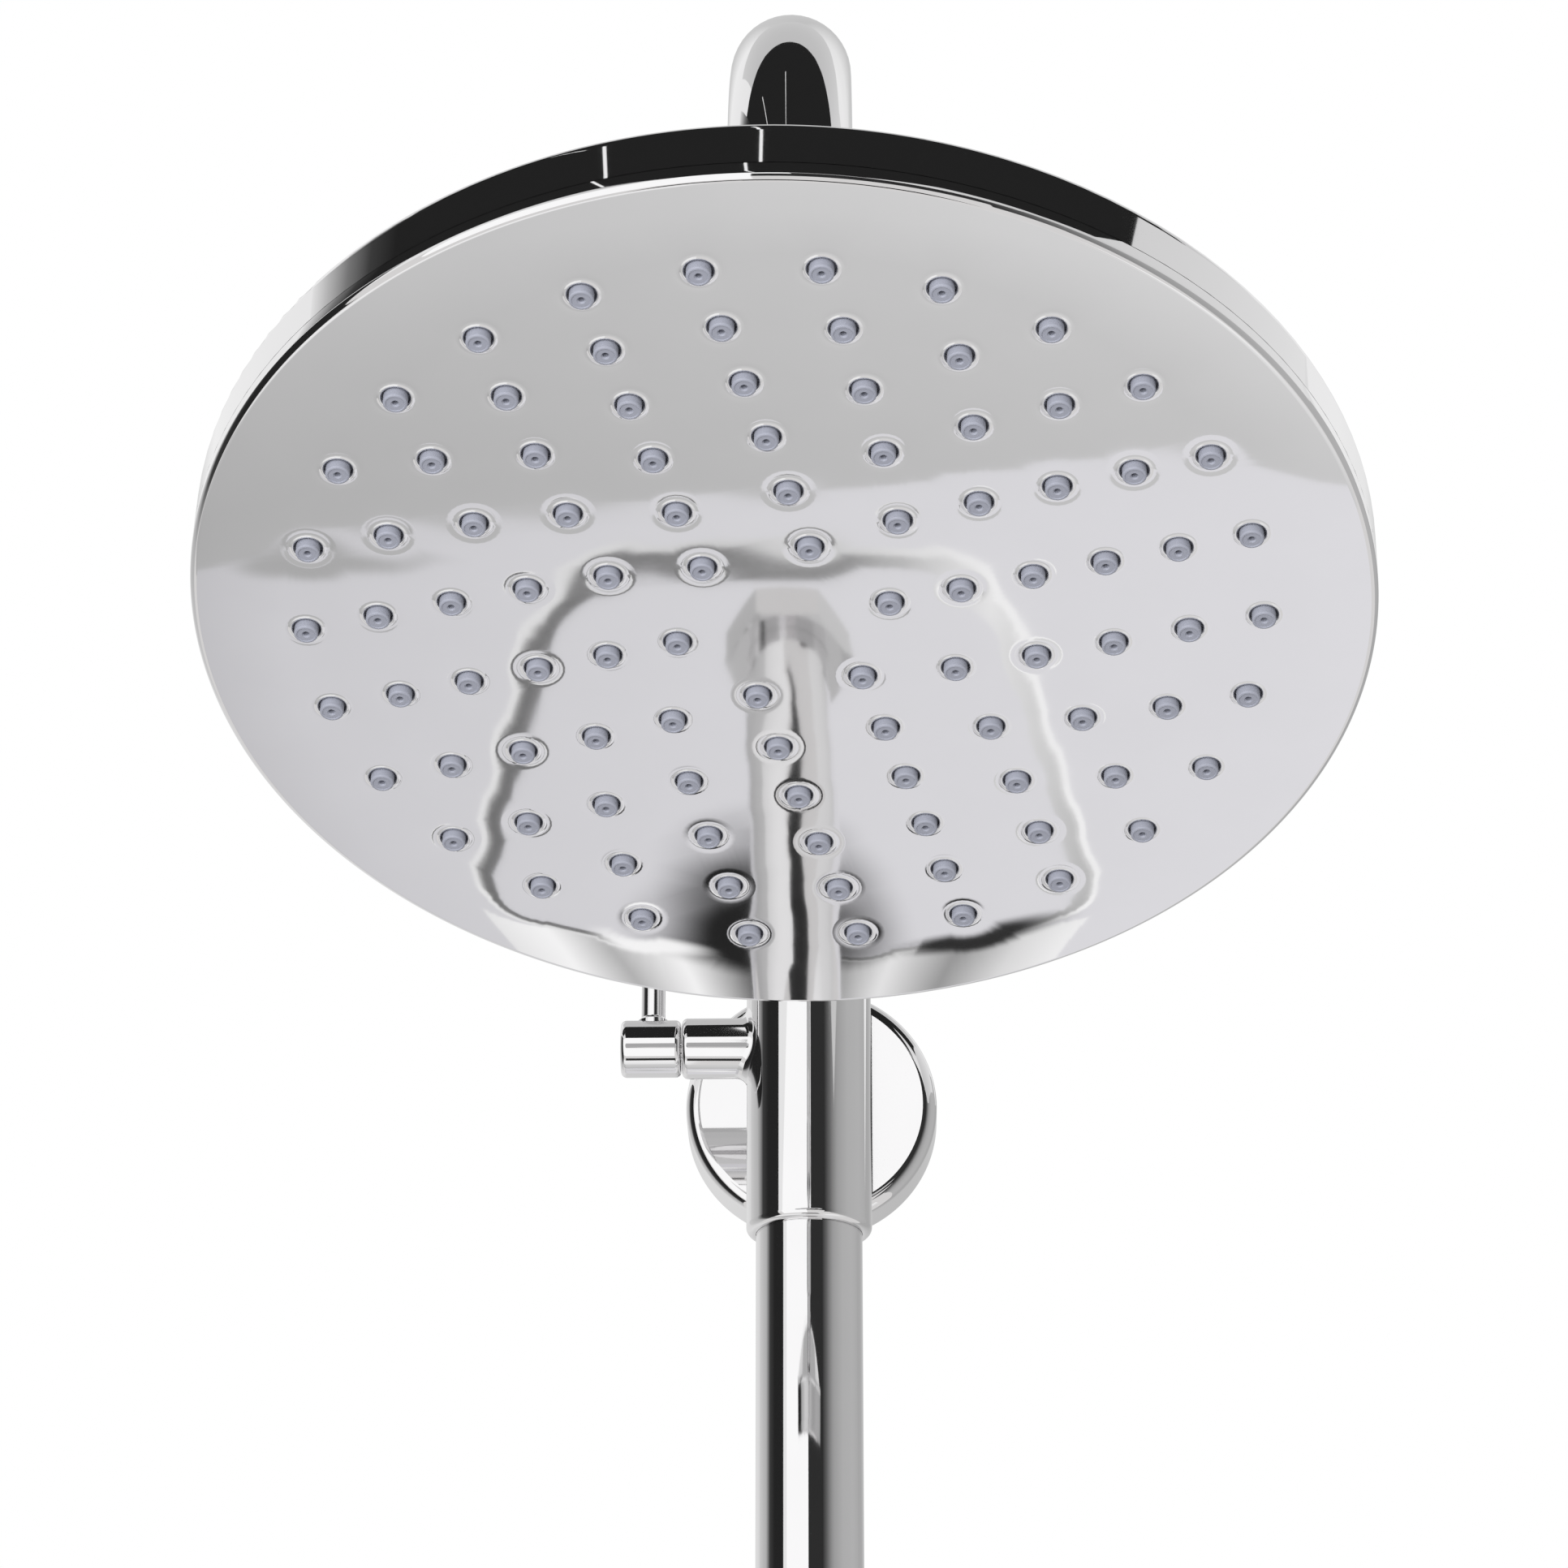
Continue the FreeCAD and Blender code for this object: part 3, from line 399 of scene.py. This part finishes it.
def arc(centre, radius, first, last, steps):
    """Points of a rounded corner, as (radius, height), from the first angle to the last, in degrees."""
    points = []
    for k in range(steps + 1):
        angle = math.radians(first + (last - first) * k / steps)
        points.append((centre[0] + radius * math.cos(angle), centre[1] + radius * math.sin(angle)))
    return points


def turned(name, rings, segments):
    """Model a closed turned piece from its half section."""
    piece = start_ring(name, rings[0][0], rings[0][1], segments, True)
    draw_rings(rings)
    bpy.ops.mesh.select_all(action="SELECT")
    bpy.ops.mesh.normals_make_consistent(inside=False)
    bpy.ops.object.mode_set(mode="OBJECT")
    return piece


def join(pieces):
    deselect_all()
    for piece in pieces:
        piece.select_set(True)
    bpy.context.view_layer.objects.active = pieces[0]
    bpy.ops.object.join()
    return bpy.context.object


def spread(piece, places):
    """Copy a piece to every place, each copy with its own mesh, and join them."""
    copies = []
    for place in places:
        copy = piece.copy()
        copy.data = piece.data.copy()
        bpy.context.collection.objects.link(copy)
        copy.location = place
        copies.append(copy)
    bpy.data.objects.remove(piece)
    joined = join(copies)
    bpy.ops.object.transform_apply(location=True, rotation=True, scale=True)
    return joined


def put(piece, matrix):
    """Place a piece and apply the place to its mesh."""
    deselect_all()
    piece.matrix_world = matrix
    piece.select_set(True)
    bpy.context.view_layer.objects.active = piece
    bpy.ops.object.transform_apply(location=True, rotation=True, scale=True)


def finish_piece(piece, name, material, slot, body, *replaced):
    """Name a piece, give it its finish and let it ride on its body in place of the CAD nodes."""
    piece.name = name
    piece.data.name = name
    piece.data.materials.clear()
    piece.data.materials.append(material)
    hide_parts(*replaced)
    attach(piece, body)


def head_place(sizes):
    """The head's frame: origin in the middle of the spray face, Z along the head's axis."""
    aim = Matrix.Rotation(-sizes.turn, 4, "Z") @ Matrix.Rotation(-sizes.tilt, 4, "X")
    return Matrix.Translation(ball_centre) @ aim @ Matrix.Translation((0, 0, -sizes.ball_height))


def nozzle_places(sizes):
    """Rings of nozzles, each with four more than the one inside it."""
    pitch = (sizes.radius - sizes.edge_margin) / (sizes.rings + 0.5)
    places = []
    for k in range(1, sizes.rings + 1):
        count = 4 * k + 2
        radius = pitch * (k + 0.5)
        for j in range(count):
            angle = sizes.first_angle + math.tau * (j + 0.5) / count
            places.append(Vector((radius * math.cos(angle), radius * math.sin(angle), 0)))
    return places


class SHOWER_OT_face_plate(bpy.types.Operator):
    """Model the face plate: a flat mirror with a rounded edge and a soft dimple round every nozzle hole"""

    bl_idname = "shower.face_plate"
    bl_label = "Face plate"

    rim_segments = 320
    hole_segments = 24
    sink_steps = 3
    bead_steps = 4
    lip_steps = 7
    edge_steps = 10

    def execute(self, context):
        sizes = context.scene.shower_head
        places = nozzle_places(sizes)
        dimple_r = self.dimple_section(sizes)[0][0]
        flat = self.flat(places, dimple_r, 0, sizes.radius - sizes.edge_round)
        inner_r = sizes.register_radius - sizes.register_wall
        back = self.flat(places, sizes.hole_radius, sizes.plate_wall, inner_r)
        dimples = self.dimples(sizes, places)
        rim = self.rim(sizes)
        plate = join([flat, back, dimples, rim])
        bpy.ops.object.mode_set(mode="EDIT")
        bpy.ops.mesh.select_all(action="SELECT")
        bpy.ops.mesh.remove_doubles(threshold=0.002 * MM)
        bpy.ops.mesh.normals_make_consistent(inside=False)
        bpy.ops.object.mode_set(mode="OBJECT")
        put(plate, head_place(sizes))
        bpy.ops.object.shade_smooth_by_angle(angle=math.radians(30))
        finish = plating(
            "plated_face", wave_scale=20.0, wave_height=0.008 * MM, polish=0.012, lean=sizes.shading_lean)
        finish_piece(plate, "spray_face", finish, "plated_plastic", "head", "face_plate")
        return {"FINISHED"}

    def dimple_section(self, sizes):
        """Half section of a dimple: shallow sink mark, low bead, rolled lip, straight hole."""
        crest_r = sizes.hole_radius + sizes.lip_width
        bead_r = crest_r + sizes.bead_width
        crest = sizes.sink_depth - sizes.bead_height
        section = []
        for k in range(self.sink_steps):
            share = k / self.sink_steps
            section.append((bead_r + sizes.sink_width * (1 - share), sizes.sink_depth * share ** 2))
        for k in range(self.bead_steps):
            rise = (1 - math.cos(math.pi * k / self.bead_steps)) / 2
            radius = bead_r - sizes.bead_width * k / self.bead_steps
            section.append((radius, sizes.sink_depth - sizes.bead_height * rise))
        for k in range(self.lip_steps + 1):
            angle = math.pi / 2 * k / self.lip_steps
            radius = crest_r - sizes.lip_width * math.sin(angle)
            section.append((radius, crest + sizes.lip_depth * (1 - math.cos(angle))))
        section.append((sizes.hole_radius, sizes.plate_wall))
        return section

    def dimples(self, sizes, places):
        section = self.dimple_section(sizes)
        dimple = start_ring("dimple", section[0][0], section[0][1], self.hole_segments, False)
        draw_rings(section)
        bpy.ops.object.mode_set(mode="OBJECT")
        return spread(dimple, places)

    def flat(self, places, hole_radius, height, outer_radius):
        """A flat sheet between the outer circle and the holes."""
        hole = start_ring("hole", hole_radius, height, self.hole_segments, False)
        bpy.ops.object.mode_set(mode="OBJECT")
        holes = spread(hole, places)
        outer = start_ring("outer", outer_radius, height, self.rim_segments, False)
        bpy.ops.object.mode_set(mode="OBJECT")
        sheet = join([outer, holes])
        bpy.ops.object.mode_set(mode="EDIT")
        bpy.ops.mesh.select_all(action="SELECT")
        bpy.ops.mesh.fill(use_beauty=True)
        bpy.ops.object.mode_set(mode="OBJECT")
        return sheet

    def rim(self, sizes):
        """Rounded edge, rim and the ring that snaps into the shell."""
        edge = sizes.edge_round
        inner_r = sizes.register_radius - sizes.register_wall
        section = arc((sizes.radius - edge, edge), edge, -90, 0, self.edge_steps)
        section += [
            (sizes.radius, sizes.rim_height), (sizes.register_radius, sizes.rim_height),
            (sizes.register_radius, sizes.register_top), (inner_r, sizes.register_top),
            (inner_r, sizes.plate_wall)]
        rim = start_ring("rim", section[0][0], section[0][1], self.rim_segments, False)
        draw_rings(section)
        bpy.ops.object.mode_set(mode="OBJECT")
        return rim


class SHOWER_OT_nozzles(bpy.types.Operator):
    """Model the silicone nozzles and the sheet that carries them"""

    bl_idname = "shower.nozzles"
    bl_label = "Nozzles"

    nozzle_segments = 24
    sheet_segments = 128
    end_steps = 5

    def execute(self, context):
        sizes = context.scene.shower_head
        nozzle = turned("nozzle", self.section(sizes), self.nozzle_segments)
        nozzles = spread(nozzle, nozzle_places(sizes))
        low = sizes.plate_wall + sizes.mat_gap
        edge = [(sizes.mat_radius, low), (sizes.mat_radius, low + sizes.mat_wall)]
        sheet = turned("sheet", edge, self.sheet_segments)
        field = join([nozzles, sheet])
        put(field, head_place(sizes))
        bpy.ops.object.shade_smooth_by_angle(angle=math.radians(38))
        colours = context.scene.shower_finishes
        finish = moulded(
            "silicone", tuple(colours.silicone), dark_share=0.94, roughness=0.42,
            grain_scale=1500.0, grain_height=0.002 * MM)
        finish_piece(field, "nozzle_field", finish, "nozzle_silicone", "head", "nozzle_mat")
        return {"FINISHED"}

    def section(self, sizes):
        """From the sheet down the side, round the end and up into the spray hole."""
        root = sizes.plate_wall + sizes.mat_wall / 2
        side = sizes.nozzle_radius
        end = -sizes.nozzle_stand
        curve = sizes.nozzle_round
        dish = sizes.dish_depth
        land = side - curve
        throat = sizes.orifice_radius
        section = [(side, root), (side, end + curve + dish)]
        section += arc((land, end + curve), curve, 0, -90, self.end_steps)
        section += [(land - dish, end), (land - 2 * dish, end + dish)]
        section += [(throat + 2 * dish, end + dish), (throat, end + 3 * dish)]
        section += [(throat, end + sizes.orifice_depth)]
        return section


class SHOWER_OT_plated_pieces(bpy.types.Operator):
    """Give the pipes, valve body, bracket, lever and ball joint their plating"""

    bl_idname = "shower.plated_pieces"
    bl_label = "Plated pieces"

    def execute(self, context):
        tube = plating("plated_tube", wave_scale=9.0, wave_height=0.02 * MM, polish=0.018)
        dress(tube, ["lower_pipe", "arm_tube"])
        cast = plating("plated_casting", wave_scale=40.0, wave_height=0.01 * MM, polish=0.02)
        dress(cast, ["valve_body", "bracket_post", "rosette", "inlet_nut", "arm_nipple", "swivel_ball",
                     "ball_collar", "lever_knob", "lever_rod", "valve_ball", "spindle", "spindle_gland"])
        shell = plating("plated_shell", wave_scale=16.0, wave_height=0.012 * MM, polish=0.014)
        dress(shell, ["head_shell"])
        return {"FINISHED"}


class SHOWER_OT_inner_pieces(bpy.types.Operator):
    """Give the seals, screws, seats and turned inner pieces their materials"""

    bl_idname = "shower.inner_pieces"
    bl_label = "Inner pieces"

    def execute(self, context):
        colours = context.scene.shower_finishes
        brass = turned_metal("turned_brass", tuple(colours.brass), dark_share=0.8, roughness=0.22)
        dress(brass, ["seat_ring", "arm_spigot", "pipe_spigot", "inlet_tail"])
        steel = turned_metal("stainless", tuple(colours.steel), dark_share=0.85, roughness=0.28)
        dress(steel, ["wall_plate", "arm_grub_screw", "pipe_grub_screw", "post_grub_screw", "filter_screen",
                      "plate_screws"])
        rubber = moulded(
            "seal_rubber", tuple(colours.rubber), dark_share=0.7, roughness=0.55,
            grain_scale=900.0, grain_height=0.02 * MM)
        dress(rubber, ["spindle_o_rings", "arm_o_rings", "pipe_o_rings", "inlet_washer", "ball_o_ring",
                       "arm_washer", "head_seal"])
        white = moulded(
            "white_plastic", tuple(colours.white_plastic), dark_share=0.94, roughness=0.4,
            grain_scale=700.0, grain_height=0.01 * MM)
        dress(white, ["valve_seats", "flow_limiter", "ball_seat"])
        grey = moulded(
            "grey_plastic", tuple(colours.grey_plastic), dark_share=0.85, roughness=0.45,
            grain_scale=800.0, grain_height=0.02 * MM)
        dress(grey, ["spray_plate"])
        return {"FINISHED"}


# Planes that the cards lie in, in metres: levels along Z, sides along X, front and back along Y.
OVER = 0.6
LOW = -1.0
LOW_SIDES = -1.005
LOW_BACK = -1.05
FRAME = -0.99
FLOOR = -1.9
LEFT = -1.0
RIGHT = 1.3
FRONT = -1.6
BACK = 0.9

# Tones that several cards share, and the tone of the panel overhead after a second reflection.
BLACK = (0.018, 0.018)
DARK = (0.03, 0.03)
BRIGHT = (1.1, 1.1)
STRIP = (1.0, 1.0)
LOW_FALL = (1.0, 0.97, 0.85, 0.78)
AGAIN = 0.5

# The frame below the face: its sides, its corners and the share of its width that the far side has.
FRAME_LEFT = -0.132
FRAME_RIGHT = 0.122
FRAME_FAR = 0.162
FRAME_NEAR = 0.348
FRAME_CORNER = 0.036
FRAME_FAR_SHARE = 0.63


class SHOWER_OT_stage(bpy.types.Operator):
    """Build the floor, the cards that the plating reflects, the light and the camera"""

    bl_idname = "shower.stage"
    bl_label = "Studio"

    floor_size = 400
    floor_reach = (4.0, 30.0)
    floor_shown = 0.8
    cross_reach = (-0.315, 0.285)
    patch_core = 0.35
    ceiling_reach = (0.3, 0.95)
    ceiling_tones = (0.9, 0.58)

    def execute(self, context):
        studio = context.scene.shower_studio
        self.floor(studio)
        self.cards()
        self.world(studio)
        self.lamp(studio)
        self.camera(studio)
        context.scene.view_settings.view_transform = "Standard"
        return {"FINISHED"}

    def floor(self, studio):
        """A pale floor that shows a little brighter far away, so that it meets the backdrop."""
        deselect_all()
        bpy.ops.mesh.primitive_plane_add(size=self.floor_size, location=(0, 0, studio.floor_level))
        floor = bpy.context.object
        floor.name = "floor"
        material, nodes, place = new_material("pale_floor")
        pale = tuple(studio.floor_colour)
        tint = nodes.blend(nodes.noise(place, FLOOR_SCALE, 2.0), darker(pale, 0.97), pale)
        matt = nodes.add("ShaderNodeBsdfDiffuse", None, {"Color": tint})
        reach = nodes.add("ShaderNodeVectorMath", {"operation": "LENGTH"}, {0: place}).out("Value")
        bright = nodes.add("ShaderNodeMapRange", None, {
            "Value": reach, "From Min": self.floor_reach[0], "From Max": self.floor_reach[1],
            "To Min": studio.floor_seen, "To Max": studio.floor_far}).out("Result")
        seen = nodes.add("ShaderNodeEmission", None, {"Color": tint, "Strength": bright})
        rays = nodes.add("ShaderNodeLightPath")
        mirrored = nodes.add("ShaderNodeEmission", None, {"Color": tint, "Strength": studio.floor_mirrored})
        glossy = nodes.add("ShaderNodeMixShader", None, {
            0: rays.out("Is Glossy Ray"), 1: matt.out(0), 2: mirrored.out(0)})
        surface = nodes.add("ShaderNodeMixShader", None, {
            0: rays.out("Is Camera Ray") * self.floor_shown, 1: glossy.out(0), 2: seen.out(0)})
        nodes.add("ShaderNodeOutputMaterial", None, {"Surface": surface.out(0)})
        floor.data.materials.append(material)

    def plane(self, name, low, high):
        """A flat card between two corners, seen only in reflections."""
        deselect_all()
        bpy.ops.mesh.primitive_plane_add(size=1, location=(0, 0, 0))
        card = bpy.context.object
        card.name = name
        across = [k for k in range(3) if high[k] - low[k] > 0]
        for vertex in card.data.vertices:
            corner = Vector(low)
            corner[across[0]] = high[across[0]] if vertex.co.x > 0 else low[across[0]]
            corner[across[1]] = high[across[1]] if vertex.co.y > 0 else low[across[1]]
            vertex.co = corner
        card.visible_camera = False
        card.visible_diffuse = False
        card.visible_shadow = False
        return card

    def card(self, name, low, high, tones, along=1, again=None, tint=(1, 1, 1), cross=None):
        """A card whose tones run along one axis, 0 for X and 1 for Y.

        Again is its tone after a second reflection, and cross its light at the left and at the right.
        """
        card = self.plane(name, low, high)
        material, nodes, place = new_material(name)
        reach = nodes.add("ShaderNodeSeparateXYZ", None, {"Vector": place}).out(along)
        share = nodes.add("ShaderNodeMapRange", None, {
            "Value": reach, "From Min": low[along], "From Max": high[along]}).out("Result")
        stops = [(k / (len(tones) - 1), [tone * part for part in tint]) for k, tone in enumerate(tones)]
        colour = nodes.add("ShaderNodeValToRGB", {"stops": stops}, {"Fac": share}).out("Color")
        strength = 1.0
        if cross is not None:
            aside = nodes.add("ShaderNodeSeparateXYZ", None, {"Vector": place}).out("X")
            strength = nodes.add("ShaderNodeMapRange", None, {
                "Value": aside, "From Min": self.cross_reach[0], "From Max": self.cross_reach[1],
                "To Min": cross[0], "To Max": cross[1]}).out("Result")
        glow = nodes.add("ShaderNodeEmission", None, {"Color": colour, "Strength": strength})
        if again is not None:
            depth = nodes.add("ShaderNodeLightPath").out("Ray Depth")
            late = nodes.add("ShaderNodeMath", {"operation": "GREATER_THAN"}, {0: depth, 1: 1.5}).out(0)
            second = nodes.add("ShaderNodeEmission", None, {"Color": (again, again, again, 1.0)})
            glow = nodes.add("ShaderNodeMixShader", None, {0: late, 1: glow.out(0), 2: second.out(0)})
        nodes.add("ShaderNodeOutputMaterial", None, {"Surface": glow.out(0)})
        material.cycles.emission_sampling = "NONE"
        card.data.materials.append(material)
        return card

    def patch(self, name, centre, half, tone):
        """A soft round patch of one tone that fades out towards its edge."""
        low = (centre[0] - half[0], centre[1] - half[1], centre[2])
        high = (centre[0] + half[0], centre[1] + half[1], centre[2])
        card = self.plane(name, low, high)
        material, nodes, place = new_material(name)
        inside = nodes.add(
            "ShaderNodeMapping", {"vector_type": "TEXTURE"},
            {"Vector": place, "Location": centre, "Scale": (half[0], half[1], 1.0)}).out("Vector")
        reach = nodes.add("ShaderNodeVectorMath", {"operation": "LENGTH"}, {0: inside}).out("Value")
        cover = nodes.add("ShaderNodeMapRange", {"interpolation_type": "SMOOTHSTEP"}, {
            "Value": reach, "From Min": self.patch_core, "From Max": 1.0,
            "To Min": 1.0, "To Max": 0.0}).out("Result")
        clear = nodes.add("ShaderNodeBsdfTransparent")
        glow = nodes.add("ShaderNodeEmission", None, {"Color": (tone, tone, tone, 1.0)})
        surface = nodes.add("ShaderNodeMixShader", None, {0: cover, 1: clear.out(0), 2: glow.out(0)})
        nodes.add("ShaderNodeOutputMaterial", None, {"Surface": surface.out(0)})
        material.cycles.emission_sampling = "NONE"
        card.data.materials.append(material)

    def ring(self, name, grow, width, tones):
        """A rounded frame below the face, wider at its near side."""
        far = FRAME_FAR - grow
        near = FRAME_NEAR + grow
        low = (FRAME_LEFT - grow, far, FRAME)
        high = (FRAME_RIGHT + grow, near, FRAME)
        middle = ((FRAME_LEFT + FRAME_RIGHT) / 2, far, FRAME)
        ring = self.card(name, low, high, tones, along=0)
        bpy.ops.object.mode_set(mode="EDIT")
        bpy.ops.mesh.select_mode(type="VERT")
        bpy.ops.mesh.select_all(action="DESELECT")
        bpy.ops.object.mode_set(mode="OBJECT")
        for vertex in ring.data.vertices:
            vertex.select = vertex.co.y < (far + near) / 2
        bpy.ops.object.mode_set(mode="EDIT")
        bpy.ops.transform.resize(value=(FRAME_FAR_SHARE, 1, 1), center_override=middle)
        bpy.ops.mesh.select_all(action="SELECT")
        bpy.ops.mesh.bevel(affect="VERTICES", offset=FRAME_CORNER, segments=7)
        bpy.ops.mesh.select_mode(type="FACE")
        bpy.ops.mesh.select_all(action="SELECT")
        bpy.ops.mesh.inset(thickness=width)
        bpy.ops.mesh.delete(type="FACE")
        bpy.ops.object.mode_set(mode="OBJECT")

    def cards(self):
        """Dark panels overhead and in front, a bright one at the left, and a frame below the face."""
        self.card("overhead", (-0.45, -0.64, OVER), (0.556, -0.125, OVER), BLACK, again=AGAIN)
        self.card("overhead_left", (-0.9, -0.64, OVER), (-0.45, -0.23, OVER), BLACK, again=AGAIN)
        self.card("overhead_front", (-0.30, -1.245, OVER), (0.30, -0.64, OVER), BLACK, again=AGAIN)
        self.card("overhead_fade", (-0.9, -0.23, OVER), (-0.45, 0.05, OVER), (0.018, 0.05, 0.2, 0.5, 0.85))
        self.card("overhead_lamp_0", (-0.271, -1.2, 0.599), (-0.2655, -0.30, 0.599), STRIP)
        self.card("overhead_lamp_1", (-0.0325, -1.2, 0.599), (-0.0275, -0.30, 0.599), STRIP)
        self.card("right_high", (0.556, -1.245, OVER), (RIGHT, 0.3, OVER), (0.62, 0.66, 0.74, 0.84))
        self.card("left_wall", (LEFT, -0.70, -1.0), (LEFT, 0.24, 0.55), (0.02, 0.02, 0.02, 0.05, 0.5))
        self.card("left_back", (LEFT, 0.24, -1.0), (LEFT, BACK, 0.55), (0.5, 0.6, 0.68))
        self.card("left_high", (LEFT, -0.2, 0.55), (LEFT, BACK, 1.6), (0.9, 0.92))
        self.card("back_low", (LEFT, BACK, -1.0), (RIGHT, BACK, 0.5),
                  (0.75, 0.8, 0.6, 0.44, 0.44), along=0)
        self.card("back_high", (LEFT, BACK, 0.5), (RIGHT, BACK, 1.6),
                  (0.92, 0.92, 0.62, 0.58, 0.85, 0.92, 0.92), along=0)
        self.card("window", (-1.80, FRONT, -1.7), (-0.05, FRONT, 0.75), BRIGHT, along=0)
        self.card("window_top", (-0.05, FRONT, 0.45), (0.10, FRONT, 0.75), BRIGHT, along=0)
        self.card("dark_front", (-0.05, FRONT, -0.3), (0.85, FRONT, 0.45), DARK, along=0)
        self.card("dark_top", (0.10, FRONT, 0.45), (0.85, FRONT, 0.75), DARK, along=0)
        self.card("right_front", (0.85, FRONT, -0.9), (RIGHT, FRONT, 0.75), (0.03, 0.16), along=0)
        self.card("right_wall", (RIGHT, FRONT, -1.0), (RIGHT, BACK, 0.9), (0.16, 0.38, 0.48, 0.50, 0.46))
        low_front = self.card("low_front", (-0.9, -0.17, LOW), (0.9, 0.139, LOW),
                              (0.80, 0.75, 0.62), cross=(0.755, 1.055))
        put(low_front, Matrix.Translation((0.035, 0, 0)) @ Matrix.Rotation(math.radians(-5.6), 4, "Z"))
        self.card("low_left", (-0.9, -0.48, LOW_SIDES), (-0.06, -0.05, LOW_SIDES), LOW_FALL)
        self.card("low_right", (0.35, -0.48, LOW_SIDES), (0.9, -0.05, LOW_SIDES), LOW_FALL)
        self.card("low_back", (-0.365, 0.05, LOW_BACK), (0.335, BACK, LOW_BACK),
                  (0.55, 0.70, 0.775, 0.815, 0.84), along=0, tint=(0.99, 0.985, 1.02))
        self.ring("frame_light", 0.004, 0.005, (0.95, 0.85, 0.74, 0.74, 1.0, 1.05))
        self.ring("frame_dark", 0, 0.0075, (0.16, 0.18, 0.22, 0.30, 0.9, 0.4))
        self.card("near_edge", (-0.135, 0.352, FRAME), (0.125, 0.48, FRAME),
                  (0.9, 1.05, 0.5, 1.05, 0.12, 0.12, 0.9, 0.35, 0.8, 1.0), along=0)
        self.patch("shade_near_left", (-0.010, 0.325, -0.985), (0.058, 0.07, 0), 0.02)
        self.patch("shade_near_right", (0.072, 0.340, -0.985), (0.05, 0.028, 0), 0.03)
        self.patch("light_near_left", (-0.057, 0.338, -0.984), (0.03, 0.024, 0), 1.05)
        self.patch("shade_sill", (-0.18, 0.162, -0.986), (0.07, 0.009, 0), 0.45)
        self.card("dark_floor", (-0.06, -1.3, FLOOR), (0.5, -0.79, FLOOR), DARK)
        self.card("dark_floor_left", (-0.35, -1.3, FLOOR), (-0.06, -0.90, FLOOR), DARK)

    def world(self, studio):
        """White to the camera, even light on the pieces, and a softer ceiling in the plating."""
        world = bpy.data.worlds.new("studio")
        bpy.context.scene.world = world
        world.use_nodes = True
        nodes = Nodes(world.node_tree)
        rays = nodes.add("ShaderNodeLightPath")
        direction = nodes.add("ShaderNodeTexCoord").out("Generated")
        height = nodes.add("ShaderNodeSeparateXYZ", None, {"Vector": direction}).out("Z")
        ceiling = nodes.add("ShaderNodeMapRange", {"interpolation_type": "SMOOTHSTEP"}, {
            "Value": height, "From Min": self.ceiling_reach[0], "From Max": self.ceiling_reach[1],
            "To Min": self.ceiling_tones[0], "To Max": self.ceiling_tones[1]}).out("Result")
        even = nodes.add("ShaderNodeBackground", None, {"Color": WHITE, "Strength": studio.light_level})
        seen = nodes.add("ShaderNodeBackground", None, {"Color": WHITE, "Strength": 1.0})
        mirrored = nodes.add("ShaderNodeBackground", None, {"Color": WHITE, "Strength": ceiling})
        glossy = nodes.add("ShaderNodeMixShader", None, {
            0: rays.out("Is Glossy Ray"), 1: even.out(0), 2: mirrored.out(0)})
        straight = rays.out("Is Camera Ray") + rays.out("Is Transmission Ray")
        shown = nodes.add("ShaderNodeMixShader", None, {0: straight, 1: glossy.out(0), 2: seen.out(0)})
        nodes.add("ShaderNodeOutputWorld", None, {"Surface": shown.out(0)})

    def lamp(self, studio):
        """One large soft lamp from the front left, left out of the reflections."""
        light = bpy.data.lights.new("soft_lamp", "AREA")
        light.energy = studio.lamp_power
        light.size = studio.lamp_size
        lamp = bpy.data.objects.new("soft_lamp", light)
        bpy.context.collection.objects.link(lamp)
        lamp.location = studio.lamp_place
        lamp.rotation_euler = (ball_centre - lamp.location).to_track_quat("-Z", "Y").to_euler()
        lamp.visible_glossy = False

    def camera(self, studio):
        data = bpy.data.cameras.new("camera")
        data.lens = studio.lens
        data.sensor_width = 36.0
        data.clip_start = 0.05
        camera = bpy.data.objects.new("camera", data)
        bpy.context.collection.objects.link(camera)
        camera.location = studio.camera_place
        camera.rotation_euler = (math.pi / 2 + studio.camera_pitch, 0, studio.camera_turn)
        bpy.context.scene.camera = camera


class SHOWER_PT_panel(bpy.types.Panel):
    """Buttons for the shower set's pieces and studio"""

    bl_idname = "SHOWER_PT_panel"
    bl_label = "Rain shower set"
    bl_space_type = "VIEW_3D"
    bl_region_type = "UI"
    bl_category = "Shower"

    def draw(self, context):
        for operator in operators:
            self.layout.operator(operator.bl_idname)


groups = (HeadSizes, Finishes, Studio)
operators = (
    SHOWER_OT_face_plate, SHOWER_OT_nozzles, SHOWER_OT_plated_pieces, SHOWER_OT_inner_pieces,
    SHOWER_OT_stage)
classes = groups + operators + (SHOWER_PT_panel,)


def register():
    for cls in classes:
        bpy.utils.register_class(cls)
    bpy.types.Scene.shower_head = bpy.props.PointerProperty(type=HeadSizes)
    bpy.types.Scene.shower_finishes = bpy.props.PointerProperty(type=Finishes)
    bpy.types.Scene.shower_studio = bpy.props.PointerProperty(type=Studio)


def unregister():
    del bpy.types.Scene.shower_studio
    del bpy.types.Scene.shower_finishes
    del bpy.types.Scene.shower_head
    for cls in reversed(classes):
        bpy.utils.unregister_class(cls)


def main():
    register()
    bpy.ops.shower.face_plate()
    bpy.ops.shower.nozzles()
    bpy.ops.shower.plated_pieces()
    bpy.ops.shower.inner_pieces()
    bpy.ops.shower.stage()


if __name__ == "__main__":
    main()
